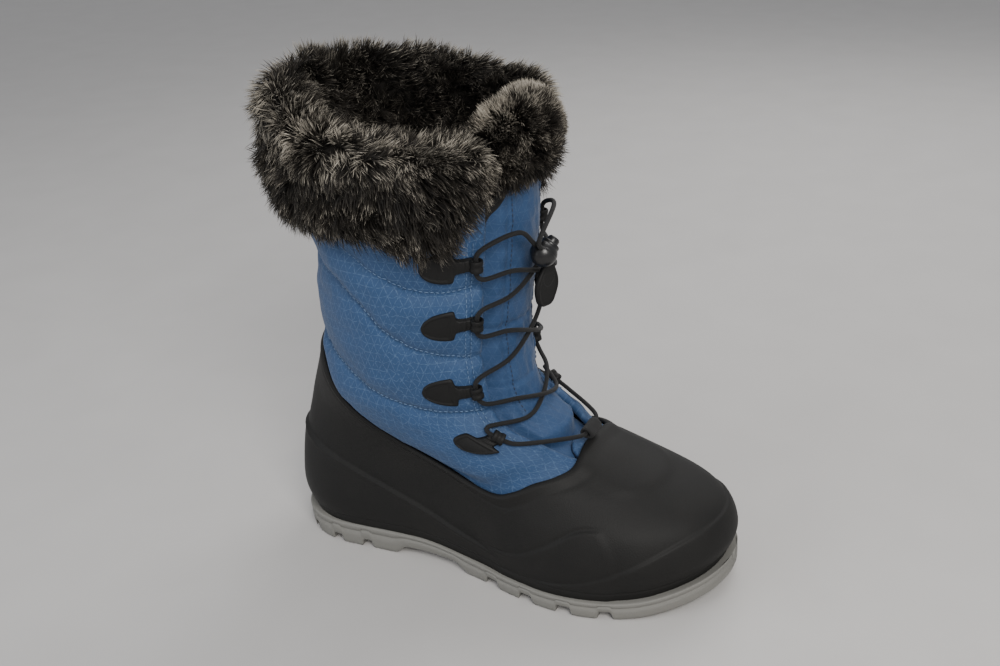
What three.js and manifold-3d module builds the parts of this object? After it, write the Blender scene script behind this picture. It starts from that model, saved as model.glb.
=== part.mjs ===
// Snow boot, right foot: quilted shaft with a fur cuff on a moulded rubber shell and a lugged sole.
// Frame while building: +X to the toe, +Y to the medial side, +Z up, heel back at x = 0, ground at z = 0.
import * as THREE from 'three';
import Module from 'manifold-3d';

const wasm = await Module();
wasm.setup();
const { Manifold, Mesh } = wasm;

// ---------------------------------------------------------------- driving dimensions, mm
const SOLE_LENGTH = 285;
const SOLE_WIDTH_FACTOR = 1.06;      // scales the outline table to the boot's ball width
const SOLE_HEEL = 16, SOLE_FORE = 11.5;   // height of the sole's top edge
const TOE_SPRING = 9;
const LUG_DEPTH = 5, LUG_BAND = 17;  // notch depth, and how far a notch reaches in from the edge
const ARCH_RISE = 6;
const SHELL_WALL = 2.6, SHELL_OVERLAP_ROWS = 0.55;
const SHAFT_WALL = 3.0, SHAFT_TUCK = 1.1;
const GAP = 0.3;
const TONGUE_WALL = 3.0;
const CORD_RADIUS = 1.3;
const BARREL_BORE = 2.35, BARREL_OUTER = 3.55, BARREL_LENGTH = 6.5, SLEEVE_CLEAR = 0.8;
const INSOLE_THICK = 4;

// ---------------------------------------------------------------- the last: a table of rings
// Each ring runs back -> side -> front; back/front are its points on the centre plane,
// sole is its scale of the sole outline, lateral/medial its half-widths as an ellipse, blend how
// far it has turned from one into the other.
const RINGS = [
  { name: 'feather', xb: 7.0, zb: 16.5, xf: 279, zf: 22, sole: 0.935, lateral: 46, medial: 44, blend: 0 },
  { name: 'welt', xb: 1.5, zb: 32, xf: 284, zf: 34, sole: 0.985, lateral: 46, medial: 44, blend: 0 },
  { name: 'ball', xb: 3.0, zb: 52, xf: 276, zf: 51, sole: 0.93, lateral: 46, medial: 44, blend: 0.05 },
  { name: 'toe_top', xb: 7.0, zb: 74, xf: 250, zf: 65, sole: 0.83, lateral: 46, medial: 43, blend: 0.30 },
  { name: 'vamp', xb: 13, zb: 92, xf: 220, zf: 77, sole: 0.74, lateral: 47, medial: 44, blend: 0.60 },
  { name: 'instep', xb: 20, zb: 110, xf: 191, zf: 89, sole: 0.70, lateral: 49, medial: 46, blend: 0.85 },
  { name: 'throat', xb: 29, zb: 130, xf: 168, zf: 110, sole: 0.70, lateral: 51, medial: 48, blend: 1 },
  { name: 'ankle', xb: 38, zb: 155, xf: 164, zf: 150, sole: 0.70, lateral: 53, medial: 51, blend: 1 },
  { name: 'shaft', xb: 43, zb: 188, xf: 170, zf: 188, sole: 0.70, lateral: 55, medial: 54, blend: 1 },
  { name: 'cuff', xb: 43, zb: 222, xf: 175, zf: 222, sole: 0.70, lateral: 56, medial: 55, blend: 1 },
  { name: 'rim', xb: 41, zb: 250, xf: 176, zf: 248, sole: 0.70, lateral: 56, medial: 55, blend: 1 },
  { name: 'top', xb: 39, zb: 278, xf: 176, zf: 272, sole: 0.70, lateral: 56, medial: 55, blend: 1 },
];
// Sole outline as half-widths of a ring, by the ring's length fraction.
const OUTLINE = [
  { at: 0.000, lateral: 84, medial: 83, centre: 0 },
  { at: 0.042, lateral: 72, medial: 70, centre: 0 },
  { at: 0.105, lateral: 60.5, medial: 57, centre: 0 },
  { at: 0.210, lateral: 46.6, medial: 43, centre: 0 },
  { at: 0.316, lateral: 39.8, medial: 33.3, centre: 0 },
  { at: 0.386, lateral: 38.5, medial: 29.3, centre: 0 },
  { at: 0.491, lateral: 42, medial: 30, centre: 0 },
  { at: 0.579, lateral: 48.8, medial: 38.2, centre: 0.2 },
  { at: 0.667, lateral: 56, medial: 47.7, centre: 1 },
  { at: 0.737, lateral: 61, medial: 54.8, centre: 2 },
  { at: 0.807, lateral: 64.6, medial: 58.9, centre: 3 },
  { at: 0.877, lateral: 69, medial: 63, centre: 5 },
  { at: 0.940, lateral: 71, medial: 66.5, centre: 6.5 },
  { at: 0.979, lateral: 74, medial: 70, centre: 7.5 },
  { at: 1.000, lateral: 77, medial: 73, centre: 8 },
];
// Upper edge of the shell, in ring numbers, by length fraction.
const SHELL_EDGE = [
  { at: 0.00, ring: 6.55 }, { at: 0.10, ring: 6.15 }, { at: 0.20, ring: 5.45 }, { at: 0.30, ring: 4.65 }, { at: 0.38, ring: 4.0 },
  { at: 0.46, ring: 3.48 }, { at: 0.54, ring: 2.97 }, { at: 0.61, ring: 2.83 }, { at: 0.68, ring: 3.12 }, { at: 0.77, ring: 3.6 },
  { at: 0.86, ring: 3.93 }, { at: 0.93, ring: 4.22 }, { at: 1.00, ring: 4.72 },
];
const THROAT_FOOT_RING = 4.85;
const SHAFT_TOP_RING = 10.5;
// Half-angle of the throat from the front, by ring.
const THROAT = [
  { at: 4.5, angle: 0.36 }, { at: 5.3, angle: 0.56 }, { at: 6.5, angle: 0.60 }, { at: 12, angle: 0.58 },
];
// Sole lugs along x: the lugs stand on the ground, the notches between them cut the side band.
const NOTCHES = [
  { from: 13, to: 19 }, { from: 33, to: 41 }, { from: 55, to: 63 },
  { from: 147, to: 157 }, { from: 172, to: 182 }, { from: 197, to: 207 }, { from: 222, to: 231 },
];
const ARCH = { from: 78, full: 88, end: 122, to: 134 };
// Lace tabs: where the neck's sleeve stands (ring, angle from the front), and the tab's tilt.
const TABS = [
  { ring: 8.50, angle: 0.70, tilt: 0.02 },
  { ring: 7.53, angle: 0.68, tilt: 0.02 },
  { ring: 6.43, angle: 0.72, tilt: 0.04 },
  { ring: 5.36, angle: 0.77, tilt: 0.36, lean: 0.40 },
];
const TAB_LENGTH = 26;
const TAB_PROFILE = [
  { at: 0.00, half: 1.8 }, { at: 0.06, half: 4.2 }, { at: 0.18, half: 6.8 }, { at: 0.36, half: 8.5 },
  { at: 0.54, half: 9.0 }, { at: 0.62, half: 8.4 }, { at: 0.665, half: 4.8 }, { at: 0.80, half: 3.9 }, { at: 1.0, half: 3.8 },
];
const CROSSINGS = [{ ring: 8.05 }, { ring: 7.04 }, { ring: 5.94 }];
const TOE_LOOP = { ring: 4.78, half: 9 };

// ---------------------------------------------------------------- small numeric helpers
const clamp = (v, a = 0, b = 1) => Math.min(b, Math.max(a, v));
const lerp = (a, b, t) => a + (b - a) * t;
const smooth = (a, b, v) => { const t = clamp((v - a) / (b - a)); return t * t * (3 - 2 * t); };

/** Smooth (Catmull-Rom) reading of a table column at a key. */
function column(table, key, value, at) {
  const n = table.length;
  let i = 0;
  while (i < n - 2 && at > table[i + 1][key]) i++;
  const [a, b] = [table[i], table[i + 1]];
  const h = b[key] - a[key];
  const t = clamp((at - a[key]) / h);
  const before = table[Math.max(0, i - 1)], after = table[Math.min(n - 1, i + 2)];
  const ma = (b[value] - before[value]) / (b[key] - before[key]) * h;
  const mb = (after[value] - a[value]) / (after[key] - a[key]) * h;
  const t2 = t * t, t3 = t2 * t;
  return (2 * t3 - 3 * t2 + 1) * a[value] + (t3 - 2 * t2 + t) * ma + (-2 * t3 + 3 * t2) * b[value] + (t3 - t2) * mb;
}
RINGS.forEach((ring, i) => { ring.at = i; });

/** Height of the sole's underside (lug bottoms) at x. */
const toeRise = (x) => TOE_SPRING * clamp((x - 222) / (SOLE_LENGTH - 222)) ** 2;
/** Height of the sole's top edge at x. */
const soleTop = (x) => lerp(SOLE_HEEL, SOLE_FORE, smooth(85, 160, x)) + toeRise(x);

/** Half-width of the sole outline and its centre, at a length fraction. */
function outline(c, side) {
  const s = Math.sqrt(Math.max(0, 4 * c * (1 - c)));
  return { half: s * column(OUTLINE, 'at', side, c) * SOLE_WIDTH_FACTOR, centre: column(OUTLINE, 'at', 'centre', c) };
}

/** A point of the last. theta 0 is the back, pi the front; 0..pi is the lateral side. */
function last(theta, ring) {
  const r = clamp(ring, 0, RINGS.length - 1);
  const c = (1 - Math.cos(theta)) / 2;
  const side = Math.sin(theta) >= 0 ? 'lateral' : 'medial';
  const get = (name) => column(RINGS, 'at', name, r);
  const x = lerp(get('xb'), get('xf'), c);
  let z = lerp(get('zb'), get('zf'), c);
  if (r < 1) z += (soleTop(x) + GAP - lerp(RINGS[0].zb, RINGS[0].zf, c)) * (1 - r);
  const plan = outline(c, side);
  const blend = clamp(get('blend'));
  const oval = Math.abs(Math.sin(theta)) * get(side);
  const half = lerp(plan.half * get('sole'), oval, blend);
  const sign = side === 'lateral' ? -1 : 1;
  return new THREE.Vector3(x, plan.centre * (1 - blend) + sign * half, z);
}

/** Outward normal of the last. */
function normal(theta, ring) {
  const e = 0.004, f = 0.02;
  const r = clamp(ring, f, RINGS.length - 1 - f);
  const a = last(theta + e, r).sub(last(theta - e, r));
  const b = last(theta, r + f).sub(last(theta, r - f));
  return a.cross(b).normalize();
}
const lifted = (theta, ring, lift) => last(theta, ring).addScaledVector(normal(theta, ring), lift);

// ---------------------------------------------------------------- solids from points
/** Closed geometry from vertices and triangles, unindexed flat faces. */
function geometry(points, faces) {
  const flat = [];
  for (const f of faces) for (const i of f) flat.push(points[i].x, points[i].y, points[i].z);
  const g = new THREE.BufferGeometry();
  g.setAttribute('position', new THREE.Float32BufferAttribute(flat, 3));
  g.computeVertexNormals();
  return g;
}

/** A walled sheet: an outer and an inner grid, a mask of the cells that exist, walls round every edge. */
function sheet(columns, rows, outer, inner, has, ring) {
  const points = [], faces = [];
  const span = ring ? columns : columns + 1;
  for (let j = 0; j <= rows; j++) for (let i = 0; i < span; i++) points.push(outer(i, j));
  const base = points.length;
  for (let j = 0; j <= rows; j++) for (let i = 0; i < span; i++) points.push(inner(i, j));
  const id = (i, j) => j * span + (ring ? (i + columns) % columns : i);
  const cell = (i, j) => {
    if (j < 0 || j >= rows) return false;
    if (ring) i = (i + columns) % columns; else if (i < 0 || i >= columns) return false;
    return has(i, j);
  };
  const quad = (a, b, c, d) => faces.push([a, b, c], [a, c, d]);
  for (let j = 0; j < rows; j++) for (let i = 0; i < columns; i++) {
    if (!cell(i, j)) continue;
    const [a, b, c, d] = [id(i, j), id(i + 1, j), id(i + 1, j + 1), id(i, j + 1)];
    quad(a, d, c, b);
    quad(a + base, b + base, c + base, d + base);
    if (!cell(i, j - 1)) quad(a, b, b + base, a + base);
    if (!cell(i, j + 1)) quad(c, d, d + base, c + base);
    if (!cell(i - 1, j)) quad(d, a, a + base, d + base);
    if (!cell(i + 1, j)) quad(b, c, c + base, b + base);
  }
  return geometry(points, faces);
}

/** A loft through closed sections of equal count, capped at both ends. */
function loft(sections, closed = false) {
  const n = sections[0].length, m = sections.length;
  const points = sections.flat(), faces = [];
  const spans = closed ? m : m - 1;
  for (let k = 0; k < spans; k++) for (let i = 0; i < n; i++) {
    const a = k * n + i, b = k * n + (i + 1) % n;
    const c = ((k + 1) % m) * n + (i + 1) % n, d = ((k + 1) % m) * n + i;
    faces.push([a, b, c], [a, c, d]);
  }
  if (!closed) for (const [start, flip] of [[0, true], [(m - 1) * n, false]]) {
    // the cap's plane from its own area vector, then an ear-cut of the outline in it
    const ring = points.slice(start, start + n), area = new THREE.Vector3();
    for (let i = 0; i < n; i++) area.add(ring[i].clone().cross(ring[(i + 1) % n]));
    area.normalize();
    const u = (Math.abs(area.z) < 0.9 ? new THREE.Vector3(0, 0, 1) : new THREE.Vector3(1, 0, 0)).cross(area).normalize();
    const v = area.clone().cross(u);
    const flat = ring.map((p) => new THREE.Vector2(p.dot(u), p.dot(v)));
    for (const [a, b, c] of THREE.ShapeUtils.triangulateShape(flat, [])) {
      faces.push(flip ? [start + c, start + b, start + a] : [start + a, start + b, start + c]);
    }
  }
  return geometry(points, faces);
}

/** Swept round cord through points, with flat ends. */
function cord(path, radius, sides = 6) {
  const sections = [];
  let up = null;
  for (let k = 0; k < path.length; k++) {
    const t = path[Math.min(k + 1, path.length - 1)].clone().sub(path[Math.max(k - 1, 0)]).normalize();
    if (!up) up = Math.abs(t.z) < 0.9 ? new THREE.Vector3(0, 0, 1) : new THREE.Vector3(1, 0, 0);
    const u = up.clone().addScaledVector(t, -up.dot(t)).normalize();
    const v = t.clone().cross(u);
    up = u;
    const ring = [];
    for (let i = 0; i < sides; i++) {
      const a = (i / sides) * 2 * Math.PI;
      ring.push(path[k].clone().addScaledVector(u, radius * Math.cos(a)).addScaledVector(v, radius * Math.sin(a)));
    }
    sections.push(ring);
  }
  return loft(sections);
}

/** Points of a smooth curve through control points, about one per step. */
function curve(points, step) {
  const c = new THREE.CatmullRomCurve3(points, false, 'centripetal');
  return c.getSpacedPoints(Math.max(2, Math.round(c.getLength() / step)));
}

/** A turned body about an axis: profile rows are {r, h}; a closed loop of rows gives a ring-like body. */
function turned(profile, origin, axis, sides) {
  const w = axis.clone().normalize();
  const u = (Math.abs(w.z) < 0.9 ? new THREE.Vector3(0, 0, 1) : new THREE.Vector3(1, 0, 0)).cross(w).normalize();
  const v = w.clone().cross(u);
  const sections = [];
  for (let k = 0; k < sides; k++) {
    const a = (k / sides) * 2 * Math.PI;
    const d = u.clone().multiplyScalar(Math.cos(a)).addScaledVector(v, Math.sin(a));
    sections.push(profile.map((p) => origin.clone().addScaledVector(w, p.h).addScaledVector(d, p.r)));
  }
  return loft(sections, true);
}

/** Manifold <-> geometry, for joining bodies. */
function toManifold(source) {
  const g = signedVolume(source) < 0 ? flipped(source) : source;
  const p = g.attributes.position.array, ids = new Map(), verts = [], tris = [];
  for (let i = 0; i < p.length; i += 3) {
    const key = `${Math.round(p[i] * 1e4)},${Math.round(p[i + 1] * 1e4)},${Math.round(p[i + 2] * 1e4)}`;
    if (!ids.has(key)) { ids.set(key, verts.length / 3); verts.push(p[i], p[i + 1], p[i + 2]); }
    tris.push(ids.get(key));
  }
  const keep = [];
  for (let i = 0; i < tris.length; i += 3) {
    const [a, b, c] = [tris[i], tris[i + 1], tris[i + 2]];
    if (a !== b && b !== c && a !== c) keep.push(a, b, c);
  }
  return new Manifold(new Mesh({ numProp: 3, vertProperties: new Float32Array(verts), triVerts: new Uint32Array(keep) }));
}
function fromManifold(m) {
  const mesh = m.simplify ? m.simplify(0.01).getMesh() : m.getMesh();
  const points = [], faces = [];
  for (let i = 0; i < mesh.vertProperties.length; i += mesh.numProp) {
    points.push(new THREE.Vector3(mesh.vertProperties[i], mesh.vertProperties[i + 1], mesh.vertProperties[i + 2]));
  }
  for (let i = 0; i < mesh.triVerts.length; i += 3) faces.push([mesh.triVerts[i], mesh.triVerts[i + 1], mesh.triVerts[i + 2]]);
  return geometry(points, faces);
}
const joined = (list) => fromManifold(list.map(toManifold).reduce((a, b) => Manifold.union(a, b)));

// ---------------------------------------------------------------- outsole and insole
function outsole() {
  const xs = new Set();
  for (const c of [0.002, 0.008, 0.02, 0.045]) { xs.add(c * SOLE_LENGTH); xs.add((1 - c) * SOLE_LENGTH); }
  for (const n of NOTCHES) { xs.add(n.from); xs.add(n.from + 1.2); xs.add(n.to - 1.2); xs.add(n.to); }
  for (const x of [26, 48, 70, ARCH.from, ARCH.from + 3, ARCH.full, 105, ARCH.end, ARCH.to - 3, ARCH.to, 140, 165, 190, 214, 240, 250, 260]) xs.add(x);
  const stations = [...xs].sort((a, b) => a - b);
  const sections = stations.map((x) => {
    const c = x / SOLE_LENGTH;
    const lat = outline(c, 'lateral'), med = outline(c, 'medial');
    const yl = lat.centre - lat.half, ym = med.centre + med.half;
    const inNotch = NOTCHES.some((n) => x > n.from + 0.6 && x < n.to - 0.6);
    const arch = ARCH_RISE * smooth(ARCH.from, ARCH.full, x) * (1 - smooth(ARCH.end, ARCH.to, x));
    const low = toeRise(x) + arch;
    const deep = low + (inNotch ? LUG_DEPTH : 0);
    const band = Math.min(LUG_BAND, (ym - yl) * 0.3);
    const top = soleTop(x);
    const bevel = Math.min(1.2, (ym - yl) * 0.1);
    const mid = (yl + ym) / 2;
    // Clockwise seen from the toe: underside lateral -> medial, then the top back again.
    return [
      [yl + bevel, deep], [yl + band, deep], [yl + band + 1.2, low + (inNotch ? 0 : 0)], [mid, low + Math.min(1, bevel)],
      [ym - band - 1.2, low], [ym - band, deep], [ym - bevel, deep],
      [ym, lerp(deep, top, 0.45)], [ym - bevel * 0.6, top], [lerp(ym, mid, 0.3), top - 0.01], [mid, top], [lerp(yl, mid, 0.3), top - 0.01],
      [yl + bevel * 0.6, top], [yl, lerp(deep, top, 0.45)],
    ].map(([y, z]) => new THREE.Vector3(x, y, z));
  });
  return loft(sections);
}

function insole() {
  const sections = [];
  const [start, end] = [14.5, 270];
  for (let k = 0; k <= 22; k++) {
    const x = lerp(start, end, (1 - Math.cos(Math.PI * k / 22)) / 2);
    const c = (x - RINGS[0].xb) / (RINGS[0].xf - RINGS[0].xb);
    const [lat, med] = ['lateral', 'medial'].map((s) => outline(c, s));
    const yl = lat.centre - lat.half * RINGS[0].sole + SHELL_WALL + 2.3, ym = med.centre + med.half * RINGS[0].sole - SHELL_WALL - 2.3;
    const z = soleTop(x) + GAP;
    const t = z + INSOLE_THICK, mid = (yl + ym) / 2;
    sections.push([[yl, z], [mid, z], [ym, z], [ym, t], [lerp(ym, mid, 0.35), t - 0.6], [mid, t - 0.9], [lerp(yl, mid, 0.35), t - 0.6], [yl, t]]
      .map(([y, q]) => new THREE.Vector3(x, y, q)));
  }
  return loft(sections);
}

// ---------------------------------------------------------------- shell
const lengthAt = (theta) => (1 - Math.cos(theta)) / 2;
const shellEdge = (theta) => column(SHELL_EDGE, 'at', 'ring', lengthAt(theta));

/** How far the shell's outer face stands out: heel bumper and toe cap are moulded proud. */
function shellLift(theta, ring) {
  const c = lengthAt(theta);
  const bumper = 1.3 * (1 - smooth(0.18, 0.42, c)) * (1 - smooth(2.75, 2.95, ring - 1.6 * c)) * smooth(0.1, 0.6, ring);
  const cap = 1.0 * smooth(0.80, 0.84, c + 0.03 * ring) * (1 - smooth(2.75, 2.95, ring));
  return Math.max(bumper, cap * smooth(0.1, 0.6, ring));
}
function shell() {
  const columns = 50, rows = 9;
  const theta = (i) => 2 * Math.PI * i / columns;
  const ringAt = (i, j) => {
    const edge = shellEdge(theta(i));
    const t = j / rows;
    return edge * (0.55 * t + 0.45 * t * t);
  };
  const rim = (j) => (j === rows ? 0.5 : 0);
  return sheet(columns, rows,
    (i, j) => lifted(theta(i), ringAt(i, j), shellLift(theta(i), ringAt(i, j)) - rim(j)),
    (i, j) => {
      const p = lifted(theta(i), ringAt(i, j), -SHELL_WALL);
      if (j === 0) p.z = soleTop(p.x) + GAP;
      return p;
    }, () => true, true);
}

// ---------------------------------------------------------------- shaft
const throatAngle = (ring) => column(THROAT, 'at', 'angle', clamp(ring, 4.5, 12));
/** Lift of the shaft's outer face: tucked under the shell, then standing out level with it. */
const shaftLift = (theta, ring) => lerp(-SHELL_WALL - SHAFT_TUCK, -0.6, smooth(0.22, 0.95, ring - shellEdge(theta)));

function shaft() {
  const side = 19, front = 6, columns = 2 * side + front, rows = 10;
  // column fraction -> angle, so that the throat's edges lie on columns
  const angle = (i, ring) => {
    const t = throatAngle(ring), edge = Math.PI - t;
    if (i <= side) return edge * i / side;
    if (i < side + front) return edge + 2 * t * (i - side) / front;
    return 2 * Math.PI - edge * (columns - i) / side;
  };
  const nominal = (i) => angle(i, 5.5);
  const foot = (i) => shellEdge(nominal(i)) - SHELL_OVERLAP_ROWS;
  const throatRow = 2;
  const ringAt = (i, j) => {
    const low = foot(i);
    const lap = lerp(low, THROAT_FOOT_RING, 1);
    const step = Math.max(low + 0.75, lap * 0 + low + 0.75);
    if (j <= throatRow) return lerp(low, step, j / throatRow);
    return lerp(step, SHAFT_TOP_RING, (j - throatRow) / (rows - throatRow));
  };
  const place = (i, j, inward) => {
    const ring = ringAt(i, j), t = angle(i % columns, ring);
    const flat = j === rows ? 0.3 : 0;
    return lifted(t, ring, shaftLift(t, ring) - inward - (inward ? -flat : flat));
  };
  const has = (i, j) => !(j >= throatRow && i >= side && i < side + front);
  return sheet(columns, rows, (i, j) => place(i, j, 0), (i, j) => place(i, j, SHAFT_WALL), has, true);
}

// ---------------------------------------------------------------- tongue panel
const TONGUE_FOOT = 4.35, TONGUE_TOP = 10.6;
/** Lift of the tongue's face: level with the shaft in the throat, tucked under it at the sides. */
function tongueLift(fromFront, ring) {
  const t = throatAngle(ring);
  const tucked = lerp(-0.6 - SHAFT_WALL - 1.0, -0.6, smooth(9.2, 9.9, ring));
  const out = lerp(tucked, -0.6, 1 - smooth(0.60 * t, 0.93 * t, Math.abs(fromFront)));
  const low = -SHELL_WALL - SHAFT_TUCK - SHAFT_WALL - 0.9;
  return lerp(low, out, smooth(4.95, 5.6, ring));
}
function tongue() {
  const columns = 12, rows = 11;
  const wide = (ring) => lerp(throatAngle(ring) + 0.16, 0.47, smooth(9.0, 9.7, ring));
  const across = [-1, -0.86, -0.76, -0.62, -0.4, -0.2, 0, 0.2, 0.4, 0.62, 0.76, 0.86, 1];
  const ringAt = (j) => lerp(TONGUE_FOOT, TONGUE_TOP, j / rows);
  const place = (i, j, inward) => {
    const ring = ringAt(j), f = across[i] * wide(ring);
    return lifted(Math.PI + f, ring, tongueLift(f, ring) - inward);
  };
  return sheet(columns, rows, (i, j) => place(i, j, 0), (i, j) => place(i, j, TONGUE_WALL), () => true, false);
}

// ---------------------------------------------------------------- fur collar and the tongue's fur
// Section of the fur cuff: out = distance from the shaft's face, up = height from the shaft's top.
const FUR_SECTION = [
  { out: 1.8, up: -33 }, { out: 10, up: -36 }, { out: 16.5, up: -27 }, { out: 19, up: -10 }, { out: 18.5, up: 6 },
  { out: 14, up: 21 }, { out: 6, up: 30 }, { out: -3, up: 31 }, { out: -11, up: 25 }, { out: -16, up: 12 },
  { out: -16, up: -6 }, { out: -12, up: -16 }, { out: -5.6, up: -16 }, { out: -5.4, up: 0.6 }, { out: 1.8, up: 0.6 },
];
const COLLAR_DIP = { lateral: 0.70, medial: 0.16, end: 0.62 };
function collar() {
  const spans = 34;
  const sections = [];
  for (let k = 0; k <= spans; k++) {
    const limit = Math.PI - COLLAR_DIP.end;
    const theta = lerp(-limit, limit, k / spans);
    const near = Math.abs(theta) / limit;
    const endScale = 1 - 0.35 * smooth(0.93, 1.0, near);
    const low = 1 - (theta > 0 ? COLLAR_DIP.lateral : COLLAR_DIP.medial) * smooth(0.12, 0.95, near);
    const rim = last(theta, SHAFT_TOP_RING);
    const n = normal(theta, SHAFT_TOP_RING); n.z = 0; n.normalize();
    sections.push(FUR_SECTION.map((p) => {
      const deep = 1 + 0.10 * (1 - smooth(0.15, 0.75, near));
      const out = p.out > 1.9 ? lerp(1.8, p.out * deep, endScale) : p.out;
      const tall = 1 + 0.16 * (1 - smooth(0.2, 0.7, near));
      const up = p.up > 0.7 ? lerp(0.6, p.up * tall, endScale * low) : p.up;
      return new THREE.Vector3(rim.x + n.x * out, rim.y + n.y * out, rim.z + up);
    }));
  }
  return loft(sections.reverse());
}
function tongueFur() {
  const section = [
    { out: 1.2, up: -14 }, { out: 7, up: -12 }, { out: 10, up: -2 }, { out: 9, up: 12 }, { out: 3, up: 20 },
    { out: -6, up: 21 }, { out: -13, up: 13 }, { out: -14, up: 0 }, { out: -11, up: -12 }, { out: -6.2, up: -14 }, { out: -6.0, up: 1.2 }, { out: 1.2, up: 1.2 },
  ];
  const sections = [];
  const spans = 10;
  for (let k = 0; k <= spans; k++) {
    const f = lerp(-1, 1, k / spans) * 0.5;
    const scale = Math.sqrt(Math.max(0.12, 1 - (0.95 * lerp(-1, 1, k / spans)) ** 2));
    const theta = Math.PI + f;
    const rim = last(theta, TONGUE_TOP);
    const n = normal(theta, TONGUE_TOP); n.z = 0; n.normalize();
    sections.push(section.map((p) => {
      const out = p.out > 1.3 ? lerp(1.2, p.out, scale) : p.out < -6.3 ? lerp(-6.2, p.out, scale) : p.out;
      const up = p.up > 1.3 ? lerp(1.2, p.up, scale) : p.up;
      return new THREE.Vector3(rim.x + n.x * out, rim.y + n.y * out, rim.z + up);
    }));
  }
  return loft(sections.reverse());
}

// ---------------------------------------------------------------- lace tabs
/** Map from millimetres in the tangent plane to the last, about an anchor. */
function tangentMap(theta0, ring0, tilt, mirror) {
  const e = 0.01;
  const perTheta = last(theta0 + e, ring0).distanceTo(last(theta0 - e, ring0)) / (2 * e);
  const perRing = last(theta0, ring0 + e * 5).distanceTo(last(theta0, ring0 - e * 5)) / (10 * e);
  return (along, across, lift) => {
    const u = along * Math.cos(tilt) - across * Math.sin(tilt);
    const v = along * Math.sin(tilt) + across * Math.cos(tilt);
    return lifted(theta0 + mirror * u / perTheta, ring0 + v / perRing, lift);
  };
}
function tab(spec, side) {
  const mirror = side === 'lateral' ? 1 : -1;
  const theta0 = side === 'lateral' ? Math.PI - spec.angle : Math.PI + spec.angle;
  const map = tangentMap(theta0, spec.ring, spec.tilt, mirror);
  const rows = 9, cols = 2;
  const stops = [0, 0.06, 0.18, 0.36, 0.54, 0.62, 0.665, 0.80, 0.92, 1.0];
  const at = (i, j, top) => {
    const a = stops[j], half = column(TAB_PROFILE, 'at', 'half', a);
    const b = lerp(-1, 1, i / cols);
    const dome = top ? 3.7 - 0.9 * b * b : 1.35;
    const rise = 1.1 * smooth(0.8, 1, a);
    // the lowest tab leans: its lower edge stands off the cloth
    const lean = (spec.lean ?? 0) * half * (1 - b) / 2 * (1 - smooth(0.7, 1, a));
    return map((a - 1) * TAB_LENGTH - 1.6, b * half, dome + lean + (top ? rise : 0));
  };
  const grid = sheet(cols, rows, (i, j) => at(i, j, true), (i, j) => at(i, j, false), () => true, false);
  const centre = map(0, 0, BARREL_OUTER + SLEEVE_CLEAR);
  const axis = map(0, 2, BARREL_OUTER + SLEEVE_CLEAR).sub(map(0, -2, BARREL_OUTER + SLEEVE_CLEAR));
  const h = BARREL_LENGTH / 2;
  const barrel = turned([{ r: BARREL_OUTER, h: -h }, { r: BARREL_OUTER, h }, { r: BARREL_BORE, h }, { r: BARREL_BORE, h: -h }], centre, axis, 8);
  const plate = toManifold(grid);
  // the plate stops at the sleeve's bore
  const bore = toManifold(cord([centre.clone().addScaledVector(axis, -6), centre.clone().addScaledVector(axis, 6)], (BARREL_BORE + BARREL_OUTER) / 2, 8));
  return fromManifold(Manifold.union(plate.subtract(bore), toManifold(barrel)));
}
function flipped(g) {
  const p = g.attributes.position.array.slice();
  for (let i = 0; i < p.length; i += 9) for (let k = 0; k < 3; k++) { const t = p[i + 3 + k]; p[i + 3 + k] = p[i + 6 + k]; p[i + 6 + k] = t; }
  const h = new THREE.BufferGeometry();
  h.setAttribute('position', new THREE.Float32BufferAttribute(p, 3));
  h.computeVertexNormals();
  return h;
}

// ---------------------------------------------------------------- lace
/** Where the lace goes through a tab's sleeve: above, centre and below. */
function sleeve(index, side) {
  const spec = TABS[index];
  const mirror = side === 'lateral' ? 1 : -1;
  const theta0 = side === 'lateral' ? Math.PI - spec.angle : Math.PI + spec.angle;
  const map = tangentMap(theta0, spec.ring, spec.tilt, mirror);
  const lift = BARREL_OUTER + SLEEVE_CLEAR;
  return { above: map(0, 5, lift), centre: map(0, 0, lift), below: map(0, -5, lift),
    leaveUp: map(2.6, 8.4, lift + 0.1), leaveDown: map(2.6, -8.4, lift + 0.1) };
}
const frontPoint = (ring, fromFront, lift) => lifted(Math.PI + fromFront, ring, lift);
/** One half of the lace: it zigzags from the lock down to the toe loop. first = side of the top tab. */
function halfLace(first, over, start, foot) {
  const other = first === 'lateral' ? 'medial' : 'lateral';
  const sides = [first, other, first, other];
  const pts = [...start];
  for (let i = 0; i < 4; i++) {
    const s = sleeve(i, sides[i]);
    pts.push(s.leaveUp, s.above, s.centre, s.below, s.leaveDown);
    if (i < 3) {
      // over the front: out at the throat's edge, across the ridge, and out at the other edge
      const way = sides[i] === 'lateral' ? -1 : 1, lift = (i + over) % 2 ? 3.4 : 6.2;
      const rise = 0.42 * (TABS[i].ring - TABS[i + 1].ring) / 2;
      pts.push(frontPoint(CROSSINGS[i].ring + rise, way * 0.36, 4.6), frontPoint(CROSSINGS[i].ring, 0, lift),
        frontPoint(CROSSINGS[i].ring - rise, -way * 0.36, 4.6));
    }
  }
  pts.push(...foot);
  return pts;
}
const LOCK = { ring: 8.50, from: -0.15, lift: 13.5, radius: 7.4 };
const lockCentre = frontPoint(LOCK.ring, LOCK.from, LOCK.lift);
const lockAxis = new THREE.Vector3(0.35, 0.72, 0.60).normalize();
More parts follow.
